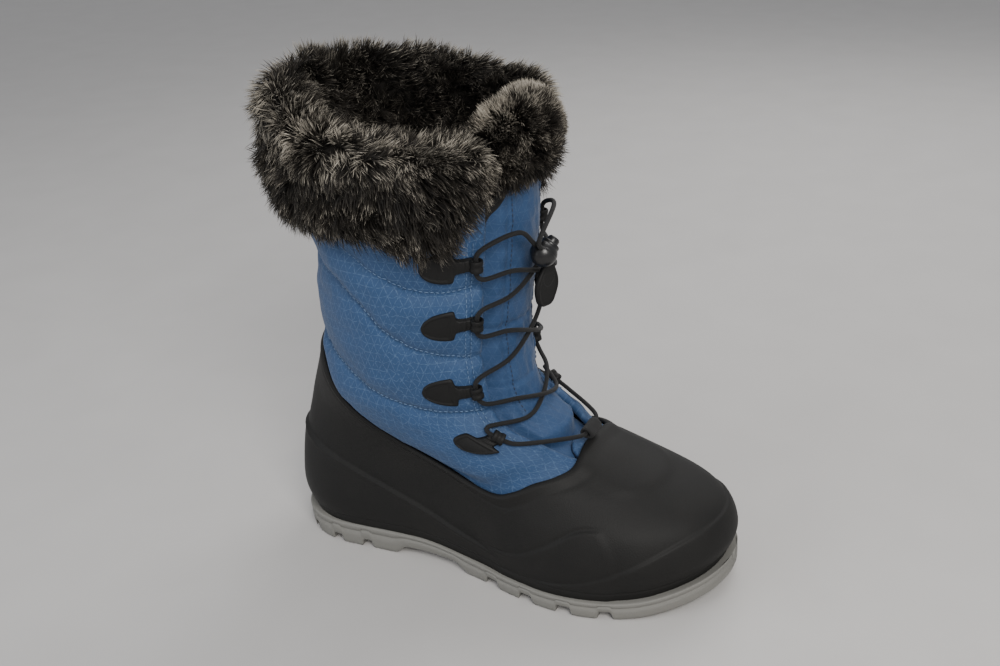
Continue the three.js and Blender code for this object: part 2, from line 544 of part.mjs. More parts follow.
// the cords run through the ball at right angles to its button, in above and out below
const lockThrough = new THREE.Vector3(0.1, 0.62, -0.78).addScaledVector(lockAxis, -lockAxis.dot(new THREE.Vector3(0.1, 0.62, -0.78))).normalize();
const lockAside = lockAxis.clone().cross(lockThrough);
const toeLoopLift = 6.6;
function lace() {
  const dir = (a) => new THREE.Vector3(0, a, 0);
  const above = (aside) => lockCentre.clone().addScaledVector(lockThrough, -LOCK.radius - 2.9).addScaledVector(lockAside, aside);
  const lat = [above(2.4), frontPoint(8.93, -0.34, 8.6)];
  const med = [above(-2.4), frontPoint(9.0, 0.26, 7.6)];
  // the two halves meet in the toe loop
  const inLoop = (y) => frontPoint(TOE_LOOP.ring, 0, toeLoopLift).add(dir(y));
  const footL = [inLoop(-13).add(new THREE.Vector3(-2, 0, 1)), inLoop(-8)];
  const footM = [inLoop(13).add(new THREE.Vector3(-2, 0, 1)), inLoop(8)];
  const a = halfLace('lateral', 0, lat, []);
  const b = halfLace('medial', 1, med, []);
  // half a ends at the medial fourth tab, half b at the lateral one
  const whole = [...a, ...footM, inLoop(0), footL[1], footL[0], ...b.reverse()];
  const line = curve(whole, 5.6);
  // a cord that crosses itself is swept in two runs and joined
  const cut = Math.round(line.length / 2);
  return joined([cord(line.slice(0, cut + 1), CORD_RADIUS), cord(line.slice(cut - 1), CORD_RADIUS * 0.999)]);
}

// ---------------------------------------------------------------- toe loop
function toeLoop() {
  const spans = 14;
  const lift = toeLoopLift, inner = CORD_RADIUS + 0.45, thick = 1.5;
  const half = 7;
  const centre = frontPoint(TOE_LOOP.ring, 0, lift);
  const n = normal(Math.PI, TOE_LOOP.ring);
  const along = frontPoint(TOE_LOOP.ring - 0.1, 0, 0).sub(frontPoint(TOE_LOOP.ring + 0.1, 0, 0)).normalize();
  const y = new THREE.Vector3(0, 1, 0);
  const out = [], inn = [];
  for (let k = 0; k < spans; k++) {
    const a = 2 * Math.PI * k / spans;
    const stretch = 1 + 0.55 * Math.max(0, Math.cos(a));
    for (const [list, r] of [[out, inner + thick], [inn, inner]]) {
      list.push(centre.clone().addScaledVector(along, r * Math.cos(a) * stretch).addScaledVector(n, r * Math.sin(a)));
    }
  }
  const at = (list, i, s) => list[i].clone().addScaledVector(y, s * half);
  const sections = out.map((_, i) => [at(out, i, -1), at(out, i, 1), at(inn, i, 1), at(inn, i, -1)]);
  return loft(sections, true);
}

// ---------------------------------------------------------------- cord lock and its tab
function lockBody() {
  const R = LOCK.radius, rows = [];
  for (let k = 0; k <= 8; k++) { const a = lerp(-1.5, 0.78, k / 8); rows.push({ r: R * Math.cos(a), h: R * Math.sin(a) }); }
  rows.push({ r: 5.2, h: R * Math.sin(0.78) + 1.6 }, { r: 4.2, h: R * Math.sin(0.78) + 1.8 }, { r: 3.8, h: 1.0 }, { r: 0.35, h: 0.8 }, { r: 0.3, h: -R + 0.4 });
  return plug(rows, 20);
}
/** A turned solid whose axis is filled: rows run from the low pole to the top centre. */
function plug(rows, sides) {
  const w = lockAxis.clone();
  const u = new THREE.Vector3(0, 0, 1).cross(w).normalize(), v = w.clone().cross(u);
  const clean = rows.filter((p) => p.r > 0.4);
  const sections = clean.map((p) => {
    const ring = [];
    for (let i = 0; i < sides; i++) {
      const a = (i / sides) * 2 * Math.PI;
      ring.push(lockCentre.clone().addScaledVector(w, p.h).addScaledVector(u, p.r * Math.cos(a)).addScaledVector(v, p.r * Math.sin(a)));
    }
    return ring;
  });
  return loft(sections);
}
function lockButton() {
  return plug([{ r: 3.2, h: 4.4 }, { r: 3.4, h: 4.7 }, { r: 3.4, h: 9.2 }, { r: 3.0, h: 10.3 }, { r: 1.6, h: 10.9 }], 16);
}
const cordTabTop = () => lockCentre.clone().add(new THREE.Vector3(-2.6, 10, -9));
function cordTab() {
  const rows = 8, cols = 4, length = 26;
  const top = cordTabTop();
  const down = new THREE.Vector3(-0.12, -0.10, -1).normalize();
  const across = new THREE.Vector3(0.25, 0.96, -0.12).normalize();
  const n = across.clone().cross(down).normalize();
  const profile = [{ at: 0, half: 3.2 }, { at: 0.15, half: 5.2 }, { at: 0.4, half: 8.4 }, { at: 0.6, half: 9 }, { at: 0.85, half: 7 }, { at: 1, half: 3 }];
  const at = (i, j, top2) => {
    const a = j / rows, b = lerp(-1, 1, i / cols), half = column(profile, 'at', 'half', a);
    return top.clone().addScaledVector(down, a * length).addScaledVector(across, b * half).addScaledVector(n, (top2 ? 1 : -1) * (1.5 - 0.4 * b * b));
  };
  return sheet(cols, rows, (i, j) => at(i, j, true), (i, j) => at(i, j, false), () => true, false);
}
function looseCord(side) {
  const a = lockCentre.clone().addScaledVector(lockThrough, LOCK.radius + 1.3).addScaledVector(lockAside, -side * 2.9);
  const b = cordTabTop().add(new THREE.Vector3(0, side * 2.4, 1.9));
  const mid = a.clone().lerp(b, 0.5).add(new THREE.Vector3(0.6, side * 0.7, -0.5)).addScaledVector(lockAside, -side * 0.6);
  return cord(curve([a, mid, b], 2.4), CORD_RADIUS);
}

// ---------------------------------------------------------------- assembly
const group = new THREE.Group();
group.name = 'snow_boot';
const COLOURS = { blue: 0x2f5d96, black: 0x17181a, grey: 0x9a9a93, fur: 0x4a4540, lining: 0x3a3a3c, gloss: 0x0b0c0e };
function add(name, geom, colour, roughness = 0.7) {
  const mesh = new THREE.Mesh(geom, new THREE.MeshStandardMaterial({ name: `${name}_finish`, color: colour, roughness, metalness: 0 }));
  mesh.name = name;
  // every body faces out
  if (signedVolume(geom) < 0) mesh.geometry = flipped(geom);
  group.add(mesh);
  return mesh;
}
function signedVolume(g) {
  const p = g.attributes.position.array;
  let v = 0;
  for (let i = 0; i < p.length; i += 9) {
    const [a, b, c, d, e, f, x, y, z] = p.slice(i, i + 9);
    v += a * (e * z - f * y) - b * (d * z - f * x) + c * (d * y - e * x);
  }
  return v / 6;
}
add('outsole', outsole(), COLOURS.grey, 0.8);
add('insole', insole(), COLOURS.lining, 0.9);
add('shell', shell(), COLOURS.black, 0.6);
add('shaft', shaft(), COLOURS.blue, 0.7);
add('tongue', tongue(), COLOURS.blue, 0.7);
add('collar', collar(), COLOURS.fur, 1);
add('tongue_fur', tongueFur(), COLOURS.fur, 1);
for (const side of ['lateral', 'medial']) TABS.forEach((spec, i) => add(`tab_${side}_${i + 1}`, tab(spec, side), COLOURS.black, 0.6));
add('toe_loop', toeLoop(), COLOURS.black, 0.8);
add('lace', lace(), COLOURS.black, 0.8);
add('lock_body', lockBody(), COLOURS.gloss, 0.25);
add('lock_button', lockButton(), COLOURS.gloss, 0.3);
add('cord_tab', cordTab(), COLOURS.black, 0.5);
add('lace_end_lateral', looseCord(-1), COLOURS.black, 0.8);
add('lace_end_medial', looseCord(1), COLOURS.black, 0.8);

// Origin at the middle of the footprint, on the ground; loose cord is not measured.
const CORDS = new Set(['lace_end_lateral', 'lace_end_medial', 'cord_tab']);
const box = new THREE.Box3();
group.children.filter((m) => !CORDS.has(m.name)).forEach((m) => { m.geometry.computeBoundingBox(); box.union(m.geometry.boundingBox); });
const shift = new THREE.Vector3(-(box.min.x + box.max.x) / 2, -(box.min.y + box.max.y) / 2, -box.min.z);
group.children.forEach((m) => m.geometry.translate(shift.x, shift.y, shift.z));

export default group;
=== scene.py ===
"""Snow boot: the visible model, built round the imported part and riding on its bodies.

All shapes are worked out in millimetres from the heel's back (x), the centre line (y, medial
positive) and the ground (z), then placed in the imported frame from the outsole's own box.
"""

import logging
import math
from dataclasses import dataclass, field
from enum import Enum
from typing import Callable, Iterable, Optional, Sequence

import bmesh
import bpy
import numpy as np
from mathutils import Matrix, Vector

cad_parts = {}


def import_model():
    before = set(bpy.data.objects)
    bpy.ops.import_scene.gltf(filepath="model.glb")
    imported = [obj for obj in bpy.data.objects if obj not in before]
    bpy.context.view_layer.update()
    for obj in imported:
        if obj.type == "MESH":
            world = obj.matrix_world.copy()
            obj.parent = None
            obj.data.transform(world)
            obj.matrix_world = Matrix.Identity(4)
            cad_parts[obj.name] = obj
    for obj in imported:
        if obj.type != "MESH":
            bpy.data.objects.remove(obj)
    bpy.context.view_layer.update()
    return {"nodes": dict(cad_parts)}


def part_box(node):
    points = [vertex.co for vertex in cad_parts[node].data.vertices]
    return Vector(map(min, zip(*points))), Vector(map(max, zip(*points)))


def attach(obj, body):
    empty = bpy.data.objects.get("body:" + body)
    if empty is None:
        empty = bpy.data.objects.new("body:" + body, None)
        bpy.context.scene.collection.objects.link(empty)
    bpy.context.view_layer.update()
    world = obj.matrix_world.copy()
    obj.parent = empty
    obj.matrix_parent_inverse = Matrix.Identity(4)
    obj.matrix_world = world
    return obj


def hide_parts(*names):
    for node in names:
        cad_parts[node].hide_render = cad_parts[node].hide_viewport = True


Array = np.ndarray
Socket = bpy.types.NodeSocket
Material = bpy.types.Material

LOG = logging.getLogger("snow_boot")
MM = 0.001
SOLE_LENGTH = 285.0
SOLE_WIDTH_FACTOR = 1.06
SHELL_WALL = 2.6
SHAFT_WALL = 3.0
SHAFT_TUCK = 1.1
SHAFT_TOP_RING = 10.5
TONGUE_TOP_RING = 10.6


class Side(Enum):
    """A side of the boot, with the sign of its y and of its way round from the back."""

    LATERAL = -1
    MEDIAL = 1


class Body(Enum):
    """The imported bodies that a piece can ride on."""

    BOOT = "boot"
    BUTTON = "button"


# --------------------------------------------------------------------------- numeric helpers


def smooth(low: float, high: float, value: Array) -> Array:
    """Smoothstep of a value between two limits.

    Args:
        low: where the step starts.
        high: where the step ends.
        value: the values to read.

    Returns:
        0 to 1, with flat ends.
    """
    t = np.clip((np.asarray(value, float) - low) / (high - low), 0.0, 1.0)
    return t * t * (3 - 2 * t)


def mix(a: Array, b: Array, t: Array) -> Array:
    """Linear blend.

    Args:
        a: value at t = 0.
        b: value at t = 1.
        t: the share of b.

    Returns:
        The blend.
    """
    return a + (b - a) * t


@dataclass(frozen=True)
class Table:
    """A short table read smoothly along its first column."""

    keys: tuple[float, ...]
    columns: dict[str, tuple[float, ...]]

    def read(self, name: str, at: Array) -> Array:
        """Smooth (Catmull-Rom) reading of one column.

        Args:
            name: the column.
            at: keys to read it at.

        Returns:
            The column's values there.
        """
        keys = np.asarray(self.keys)
        values = np.asarray(self.columns[name])
        at = np.asarray(at, float)
        last = len(keys) - 1
        i = np.clip(np.searchsorted(keys, at, side="left") - 1, 0, last - 1)
        before, after = np.maximum(i - 1, 0), np.minimum(i + 2, last)
        h = keys[i + 1] - keys[i]
        t = np.clip((at - keys[i]) / h, 0, 1)
        ma = (values[i + 1] - values[before]) / (keys[i + 1] - keys[before]) * h
        mb = (values[after] - values[i]) / (keys[after] - keys[i]) * h
        t2, t3 = t * t, t * t * t
        start = (2 * t3 - 3 * t2 + 1) * values[i] + (t3 - 2 * t2 + t) * ma
        return start + (3 * t2 - 2 * t3) * values[i + 1] + (t3 - t2) * mb


class Noise:
    """Seeded smooth value noise on a lattice, vectorised."""

    def __init__(self, seed: int) -> None:
        """Fills the lattice.

        Args:
            seed: the random seed.
        """
        self.lattice = np.random.default_rng(seed).uniform(-1, 1, (64, 64, 64))

    def __call__(self, x: Array, y: Array, z: Array) -> Array:
        """Noise at points, one lattice cell to a unit.

        Args:
            x: first coordinate.
            y: second coordinate.
            z: third coordinate.

        Returns:
            Values from -1 to 1.
        """
        x, y, z = np.broadcast_arrays(np.asarray(x, float), np.asarray(y, float), np.asarray(z, float))
        cell = [np.floor(v).astype(int) for v in (x, y, z)]
        part = [v - c for v, c in zip((x, y, z), cell)]
        part = [p * p * (3 - 2 * p) for p in part]
        total = np.zeros(x.shape)
        for corner in range(8):
            bits = [(corner >> k) & 1 for k in range(3)]
            weight = np.ones(x.shape)
            for p, bit in zip(part, bits):
                weight = weight * (p if bit else 1 - p)
            index = tuple((c + bit) % 64 for c, bit in zip(cell, bits))
            total += weight * self.lattice[index]
        return total


NOISE = Noise(7)


# --------------------------------------------------------------------------- the last


class Last:
    """The boot's form: rings from the sole's edge to the collar, as the part is drawn on."""

    RINGS = Table(
        tuple(range(12)),
        {
            "xb": (7, 1.5, 3, 7, 13, 20, 29, 38, 43, 43, 41, 39),
            "zb": (16.5, 32, 52, 74, 92, 110, 130, 155, 188, 222, 250, 278),
            "xf": (279, 284, 276, 250, 220, 191, 168, 164, 170, 175, 176, 176),
            "zf": (22, 34, 51, 65, 77, 89, 110, 150, 188, 222, 248, 272),
            "sole": (0.935, 0.985, 0.93, 0.83, 0.74, 0.70, 0.70, 0.70, 0.70, 0.70, 0.70, 0.70),
            "LATERAL": (46, 46, 46, 46, 47, 49, 51, 53, 55, 56, 56, 56),
            "MEDIAL": (44, 44, 44, 43, 44, 46, 48, 51, 54, 55, 55, 55),
            "blend": (0, 0, 0.05, 0.3, 0.6, 0.85, 1, 1, 1, 1, 1, 1),
        },
    )
    OUTLINE = Table(
        (0.0, 0.042, 0.105, 0.21, 0.316, 0.386, 0.491, 0.579, 0.667, 0.737, 0.807, 0.877, 0.94, 0.979, 1.0),
        {
            "LATERAL": (84, 72, 60.5, 46.6, 39.8, 38.5, 42, 48.8, 56, 61, 64.6, 69, 71, 74, 77),
            "MEDIAL": (83, 70, 57, 43, 33.3, 29.3, 30, 38.2, 47.7, 54.8, 58.9, 63, 66.5, 70, 73),
            "centre": (0, 0, 0, 0, 0, 0, 0, 0.2, 1, 2, 3, 5, 6.5, 7.5, 8),
        },
    )
    SHELL_EDGE = Table(
        (0.0, 0.10, 0.20, 0.30, 0.38, 0.46, 0.54, 0.61, 0.68, 0.77, 0.86, 0.93, 1.0),
        {"ring": (6.55, 6.15, 5.45, 4.65, 4.0, 3.48, 2.97, 2.83, 3.12, 3.6, 3.93, 4.22, 4.72)},
    )
    THROAT = Table((4.5, 5.3, 6.5, 12.0), {"angle": (0.36, 0.56, 0.60, 0.58)})

    @staticmethod
    def toe_rise(x: Array) -> Array:
        """Lift of the sole's underside towards the toe.

        Args:
            x: distance from the heel's back.

        Returns:
            Height in millimetres.
        """
        return 9.0 * np.clip((np.asarray(x, float) - 222) / (SOLE_LENGTH - 222), 0, 1) ** 2

    @classmethod
    def sole_top(cls, x: Array) -> Array:
        """Height of the sole's top edge.

        Args:
            x: distance from the heel's back.

        Returns:
            Height in millimetres.
        """
        return mix(16.0, 11.5, smooth(85, 160, x)) + cls.toe_rise(x)

    @classmethod
    def outline(cls, c: Array, side: str) -> tuple[Array, Array]:
        """Half-width and centre of the sole outline at a length fraction.

        Args:
            c: length fraction from the heel.
            side: LATERAL or MEDIAL.

        Returns:
            The half-width and the centre line's y.
        """
        s = np.sqrt(np.maximum(0, 4 * c * (1 - c)))
        return s * cls.OUTLINE.read(side, c) * SOLE_WIDTH_FACTOR, cls.OUTLINE.read("centre", c)

    @classmethod
    def point(cls, theta: Array, ring: Array) -> Array:
        """Points of the last.

        Args:
            theta: way round from the back, 0..pi on the lateral side.
            ring: ring number, 0 at the sole's edge.

        Returns:
            Points, shape (..., 3).
        """
        theta, ring = np.broadcast_arrays(np.asarray(theta, float), np.clip(np.asarray(ring, float), 0, 11))
        c = (1 - np.cos(theta)) / 2
        get = {k: cls.RINGS.read(k, ring) for k in cls.RINGS.columns}
        x = mix(get["xb"], get["xf"], c)
        z = mix(get["zb"], get["zf"], c)
        z = z + np.where(ring < 1, (cls.sole_top(x) + 0.3 - mix(16.5, 22, c)) * (1 - ring), 0)
        lateral = np.sin(theta) >= 0
        plan_l, centre = cls.outline(c, "LATERAL")
        plan_m, _ = cls.outline(c, "MEDIAL")
        plan = np.where(lateral, plan_l, plan_m) * get["sole"]
        oval = np.abs(np.sin(theta)) * np.where(lateral, get["LATERAL"], get["MEDIAL"])
        blend = np.clip(get["blend"], 0, 1)
        half = mix(plan, oval, blend)
        y = centre * (1 - blend) + np.where(lateral, -half, half)
        return np.stack([x, y, z], -1)

    @classmethod
    def normal(cls, theta: Array, ring: Array) -> Array:
        """Outward unit normals of the last.

        Args:
            theta: way round from the back.
            ring: ring number.

        Returns:
            Normals, shape (..., 3).
        """
        ring = np.clip(np.asarray(ring, float), 0.02, 10.98)
        a = cls.point(theta + 0.004, ring) - cls.point(theta - 0.004, ring)
        b = cls.point(theta, ring + 0.02) - cls.point(theta, ring - 0.02)
        n = np.cross(a, b)
        return n / np.linalg.norm(n, axis=-1, keepdims=True)

    @classmethod
    def lifted(cls, theta: Array, ring: Array, lift: Array) -> Array:
        """Points off the last along its normal.

        Args:
            theta: way round from the back.
            ring: ring number.
            lift: distance outward.

        Returns:
            Points, shape (..., 3).
        """
        return cls.point(theta, ring) + cls.normal(theta, ring) * np.asarray(lift, float)[..., None]

    @classmethod
    def shell_edge(cls, theta: Array) -> Array:
        """Ring number of the rubber shell's upper edge.

        Args:
            theta: way round from the back.

        Returns:
            Ring numbers.
        """
        return cls.SHELL_EDGE.read("ring", (1 - np.cos(theta)) / 2)

    @classmethod
    def throat(cls, ring: Array) -> Array:
        """Half-angle of the throat from the front.

        Args:
            ring: ring number.

        Returns:
            Angles in radians.
        """
        return cls.THROAT.read("angle", np.clip(ring, 4.5, 12))


class Placement:
    """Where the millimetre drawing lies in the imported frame."""

    def __init__(self) -> None:
        """Reads the outsole's box and lines the drawing up with it."""
        low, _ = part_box("outsole")
        c = np.linspace(0.002, 0.998, 400)
        half, centre = Last.outline(c, "LATERAL")
        self.offset = np.array([low[0] / MM - 0.002 * SOLE_LENGTH, low[1] / MM - float(np.min(centre - half)), 0.0])

    def __call__(self, points: Array) -> Array:
        """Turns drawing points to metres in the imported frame.

        Args:
            points: points in millimetres, shape (..., 3).

        Returns:
            Points in metres.
        """
        return (np.asarray(points, float) + self.offset) * MM


# --------------------------------------------------------------------------- finishes


class Shader:
    """A short-hand for one material's node tree."""

    def __init__(self, name: str) -> None:
        """Makes the material with its Principled shader.

        Args:
            name: the material's name.
        """
        self.material = bpy.data.materials.new(name)
        self.material.use_nodes = True
        self.tree = self.material.node_tree
        self.bsdf = self.tree.nodes["Principled BSDF"]
        self._place: Optional[Socket] = None

    def node(self, kind: str, inputs: Optional[dict] = None, **settings: object) -> bpy.types.Node:
        """Adds a node and feeds its inputs.

        Args:
            kind: the node's type name.
            inputs: input name or index to a value or an output socket.
            settings: the node's own settings.

        Returns:
            The node.
        """
        node = self.tree.nodes.new(kind)
        for key, value in settings.items():
            setattr(node, key, value)
        for key, value in (inputs or {}).items():
            self.feed(node.inputs[key], value)
        return node

    def feed(self, socket: Socket, value: object) -> None:
        """Links or sets one input.

        Args:
            socket: the input.
            value: an output socket or a plain value.
        """
        if isinstance(value, Socket):
            self.tree.links.new(value, socket)
        else:
            socket.default_value = value

    def math(self, operation: str, *values: object, clamp: bool = False) -> Socket:
        """One math node.

        Args:
            operation: its operation.
            values: its inputs, in order.
            clamp: whether the result is held to 0..1.

        Returns:
            Its output.
        """
        node = self.node("ShaderNodeMath", dict(enumerate(values)), operation=operation, use_clamp=clamp)
        return node.outputs[0]

    def place(self) -> Socket:
        """The point in millimetres.

        Returns:
            A vector socket.
        """
        if self._place is None:
            where = self.node("ShaderNodeTexCoord").outputs["Object"]
            self._place = self.node("ShaderNodeVectorMath", {0: where, 3: 1000.0}, operation="SCALE").outputs[0]
        return self._place

    def noise(
        self, size: float, detail: float = 3.0, stretch: Sequence[float] = (1, 1, 1), where: Optional[Socket] = None
    ) -> Socket:
        """Noise with features of about a size.

        Args:
            size: feature size in millimetres.
            detail: its octaves.
            stretch: scale of each axis.
            where: coordinates other than the object's own.

        Returns:
            A 0..1 socket.
        """
        source = where or self.place()
        source = self.node("ShaderNodeVectorMath", {0: source, 1: tuple(stretch)}, operation="MULTIPLY").outputs[0]
        return self.node("ShaderNodeTexNoise", {"Vector": source, "Scale": 1.0 / size, "Detail": detail}).outputs[0]

    def ramp(self, value: Socket, stops: Iterable[tuple[float, Sequence[float]]]) -> Socket:
        """A colour ramp.

        Args:
            value: what it reads.
            stops: positions and RGB colours.

        Returns:
            A colour socket.
        """
        node = self.node("ShaderNodeValToRGB", {0: value})
        elements = node.color_ramp.elements
        for index, (at, colour) in enumerate(stops):
            element = elements[index] if index < 2 else elements.new(at)
            element.position = at
            element.color = (*colour, 1)
        return node.outputs[0]

    def blend(self, share: object, a: object, b: object, kind: str = "MIX") -> Socket:
        """Blends two colours.

        Args:
            share: how much of b.
            a: first colour.
            b: second colour.
            kind: the blend type.

        Returns:
            A colour socket.
        """
        def colour(v: object) -> object:
            """A colour with its alpha, or what was given."""
            return (*v, 1) if isinstance(v, (tuple, list)) and len(v) == 3 else v

        node = self.node("ShaderNodeMix", data_type="RGBA", blend_type=kind)
        self.feed(node.inputs[0], share)
        self.feed(node.inputs[6], colour(a))
        self.feed(node.inputs[7], colour(b))
        return node.outputs[2]

    def bump(self, height: Socket, depth: float, strength: float = 1.0, under: Optional[Socket] = None) -> Socket:
        """A bump node.

        Args:
            height: the 0..1 height.
            depth: its depth in millimetres.
            strength: the node's strength.
            under: a normal to build on.

        Returns:
            A normal socket.
        """
        inputs: dict = {"Height": height, "Distance": depth * MM, "Strength": strength}
        if under is not None:
            inputs["Normal"] = under
        return self.node("ShaderNodeBump", inputs).outputs[0]

    def finish(self, colour: object, roughness: object, normal: Optional[Socket] = None, **sockets: object) -> Material:
        """Feeds the shader.

        Args:
            colour: base colour, a value or a socket.
            roughness: a value or a socket.
            normal: the normal, if it has one.
            sockets: further inputs by name, with underscores for spaces.

        Returns:
            The material.
        """
        self.feed(self.bsdf.inputs["Base Color"], (*colour, 1) if isinstance(colour, (tuple, list)) else colour)
        self.feed(self.bsdf.inputs["Roughness"], roughness)
        if normal is not None:
            self.feed(self.bsdf.inputs["Normal"], normal)
        for key, value in sockets.items():
            self.feed(self.bsdf.inputs[key.replace("_", " ")], value)
        return self.material


@dataclass(frozen=True)
class Rubber:
    """Moulded rubber: fine pebble, a little dust, lighter specks."""

    name: str
    colour: tuple[float, float, float]
    dust: tuple[float, float, float]
    dust_share: float = 0.25
    roughness: float = 0.62
    pebble: float = 0.9
    depth: float = 0.10
    specular: float = 0.42

    def build(self) -> Material:
        """Makes the material.

        Returns:
            The material.
        """
        s = Shader(self.name)
        grain = s.noise(self.pebble, 2)
        broad = s.noise(28, 4)
        speck = s.noise(0.45, 1)
        patches = s.math("SMOOTH_MAX", s.math("SUBTRACT", broad, 0.42), 0.0, 0.1)
        dusty = s.math("MULTIPLY", patches, self.dust_share * 4, clamp=True)
        tint = s.blend(s.math("MULTIPLY", speck, 0.5), self.colour, tuple(min(1.0, v * 1.9 + 0.004) for v in self.colour))
        colour = s.blend(dusty, tint, self.dust)
        rough = s.math("ADD", s.math("MULTIPLY", broad, 0.16), self.roughness - 0.08)
        normal = s.bump(grain, self.depth, 0.8, s.bump(s.noise(4.5, 3), 0.12, 0.5))
        return s.finish(colour, rough, normal, Specular_IOR_Level=self.specular)


@dataclass(frozen=True)
class Ripstop:
    """Blue nylon with a fine triangular lattice of lighter threads over a tight weave."""

    name: str
    colour: tuple[float, float, float]
    light: tuple[float, float, float]
    pitch: float = 6.2
    lattice: float = 0.55

    def build(self) -> Material:
        """Makes the material. Its UV map is in millimetres of cloth.

        Returns:
            The material.
        """
        s = Shader(self.name)
        uv = s.node("ShaderNodeUVMap").outputs[0]
        parts = s.node("ShaderNodeSeparateXYZ", {0: uv})
        u, v = parts.outputs[0], parts.outputs[1]
        lines = None
        for angle in (0.0, math.pi / 3, 2 * math.pi / 3):
            run = s.math("ADD", s.math("MULTIPLY", u, math.sin(angle)), s.math("MULTIPLY", v, math.cos(angle)))
            saw = s.math("FRACT", s.math("DIVIDE", run, self.pitch * math.sqrt(3) / 2))
            tent = s.math("ABSOLUTE", s.math("SUBTRACT", saw, 0.5))
            line = s.node("ShaderNodeMapRange", {"Value": tent, "From Min": 0.43, "From Max": 0.49}).outputs[0]
            lines = line if lines is None else s.math("MAXIMUM", lines, line)
        cloth = s.node("ShaderNodeCombineXYZ", {0: u, 1: v}).outputs[0]
        weave_a = s.math("SINE", s.math("MULTIPLY", u, 2 * math.pi / 0.62))
        weave_b = s.math("SINE", s.math("MULTIPLY", v, 2 * math.pi / 0.62))
        weave = s.math("ADD", s.math("MULTIPLY", s.math("MULTIPLY", weave_a, weave_b), 0.5), 0.5)
        thread = s.noise(0.7, 2, (1, 1, 1), cloth)
        broad = s.noise(22, 4)
        dark, bright = (tuple(c * k for c in self.colour) for k in (0.62, 1.35))
        base = s.blend(s.math("MULTIPLY", thread, 0.9), dark, bright)
        base = s.blend(broad, base, s.blend(0.5, base, tuple(c * 1.5 for c in self.colour)))
        grain = s.noise(1.6, 2, (1, 1, 1), cloth)
        fleck = s.node("ShaderNodeMapRange", {"Value": grain, "From Min": 0.36, "From Max": 0.6}).outputs[0]
        shown = s.math("MULTIPLY", s.math("MULTIPLY", lines, fleck), self.lattice)
        colour = s.blend(shown, base, self.light)
        height = s.math("ADD", s.math("MULTIPLY", weave, 0.35), s.math("MULTIPLY", lines, 0.65))
        normal = s.bump(height, 0.14, 0.7, s.bump(s.noise(3.2, 4), 0.30, 0.55))
        return s.finish(colour, 0.56, normal, Sheen_Weight=0.08, Sheen_Roughness=0.4, Specular_IOR_Level=0.22)


@dataclass(frozen=True)
class Pile:
    """Hairs: dark at the root, grizzled at the tip; UV y runs root to tip and x is the tuft's tone with a painted
    highlight along the crest.
    """

    name: str
    root: tuple[float, float, float]
    middle: tuple[float, float, float]
    tip: tuple[float, float, float]

    def build(self) -> Material:
        """Makes the material.

        Returns:
            The material.
        """
        s = Shader(self.name)
        uv = s.node("ShaderNodeSeparateXYZ", {0: s.node("ShaderNodeUVMap").outputs[0]})
        # UV x is the hair's tone with the painted crest highlight; a higher value moves its colours towards the light
        # tip
        tuft = s.math("MULTIPLY", s.math("SUBTRACT", uv.outputs[0], 0.5), 0.55)
        along = s.math("ADD", uv.outputs[1], tuft, clamp=True)
        stops = [(0.0, self.root), (1.0, self.tip), (0.40, self.root), (0.74, self.middle), (0.93, self.tip)]
        colour = s.ramp(along, stops)
        patch = s.noise(16, 3)
        share = s.node("ShaderNodeMapRange", {"Value": patch, "From Min": 0.42, "From Max": 0.66, "To Max": 0.6})
        colour = s.blend(share.outputs[0], colour, tuple(c * 0.35 for c in self.middle))
        return s.finish(colour, 0.6, None, Specular_IOR_Level=0.16)


@dataclass(frozen=True)
class Fleece:
    """A short matted nap, for the base under the hair, the lining and felt."""

    name: str
    colour: tuple[float, float, float]
    size: float = 1.2
    depth: float = 0.7

    def build(self) -> Material:
        """Makes the material.

        Returns:
            The material.
        """
        s = Shader(self.name)
        nap = s.noise(self.size, 4)
        colour = s.blend(nap, tuple(c * 0.5 for c in self.colour), tuple(min(1.0, c * 1.6) for c in self.colour))
        return s.finish(colour, 0.95, s.bump(nap, self.depth, 0.8), Sheen_Weight=0.05, Specular_IOR_Level=0.1)


@dataclass(frozen=True)
class Braid:
    """Braided cord or woven tape: diagonal strands from a UV map in millimetres."""

    name: str
    colour: tuple[float, float, float]
    pitch: float = 1.1

    def build(self) -> Material:
        """Makes the material.

        Returns:
            The material.
        """
        s = Shader(self.name)
        uv = s.node("ShaderNodeSeparateXYZ", {0: s.node("ShaderNodeUVMap").outputs[0]})
        k = 2 * math.pi / self.pitch
        a = s.math("SINE", s.math("MULTIPLY", s.math("ADD", uv.outputs[0], uv.outputs[1]), k))
        b = s.math("SINE", s.math("MULTIPLY", s.math("SUBTRACT", uv.outputs[0], uv.outputs[1]), k))
        strands = s.math("ADD", s.math("MULTIPLY", s.math("MAXIMUM", a, b), 0.5), 0.5)
        colour = s.blend(strands, tuple(c * 0.6 for c in self.colour), tuple(c * 2.1 + 0.004 for c in self.colour))
        return s.finish(colour, 0.7, s.bump(strands, 0.16, 0.9), Sheen_Weight=0.05, Specular_IOR_Level=0.2)


@dataclass(frozen=True)
class Gloss:
    """Glossy moulded plastic with faint handling marks."""

    name: str
    colour: tuple[float, float, float]

    def build(self) -> Material:
        """Makes the material.

        Returns:
            The material.
        """
        s = Shader(self.name)
        marks = s.noise(3.0, 5)
        rough = s.math("ADD", s.math("MULTIPLY", marks, 0.18), 0.24)
        colour = s.blend(marks, self.colour, tuple(c * 1.7 for c in self.colour))
        bump = s.bump(s.noise(1.4, 2), 0.02, 0.4)
        return s.finish(colour, rough, bump, Specular_IOR_Level=0.4, Coat_Weight=0.1, Coat_Roughness=0.25)


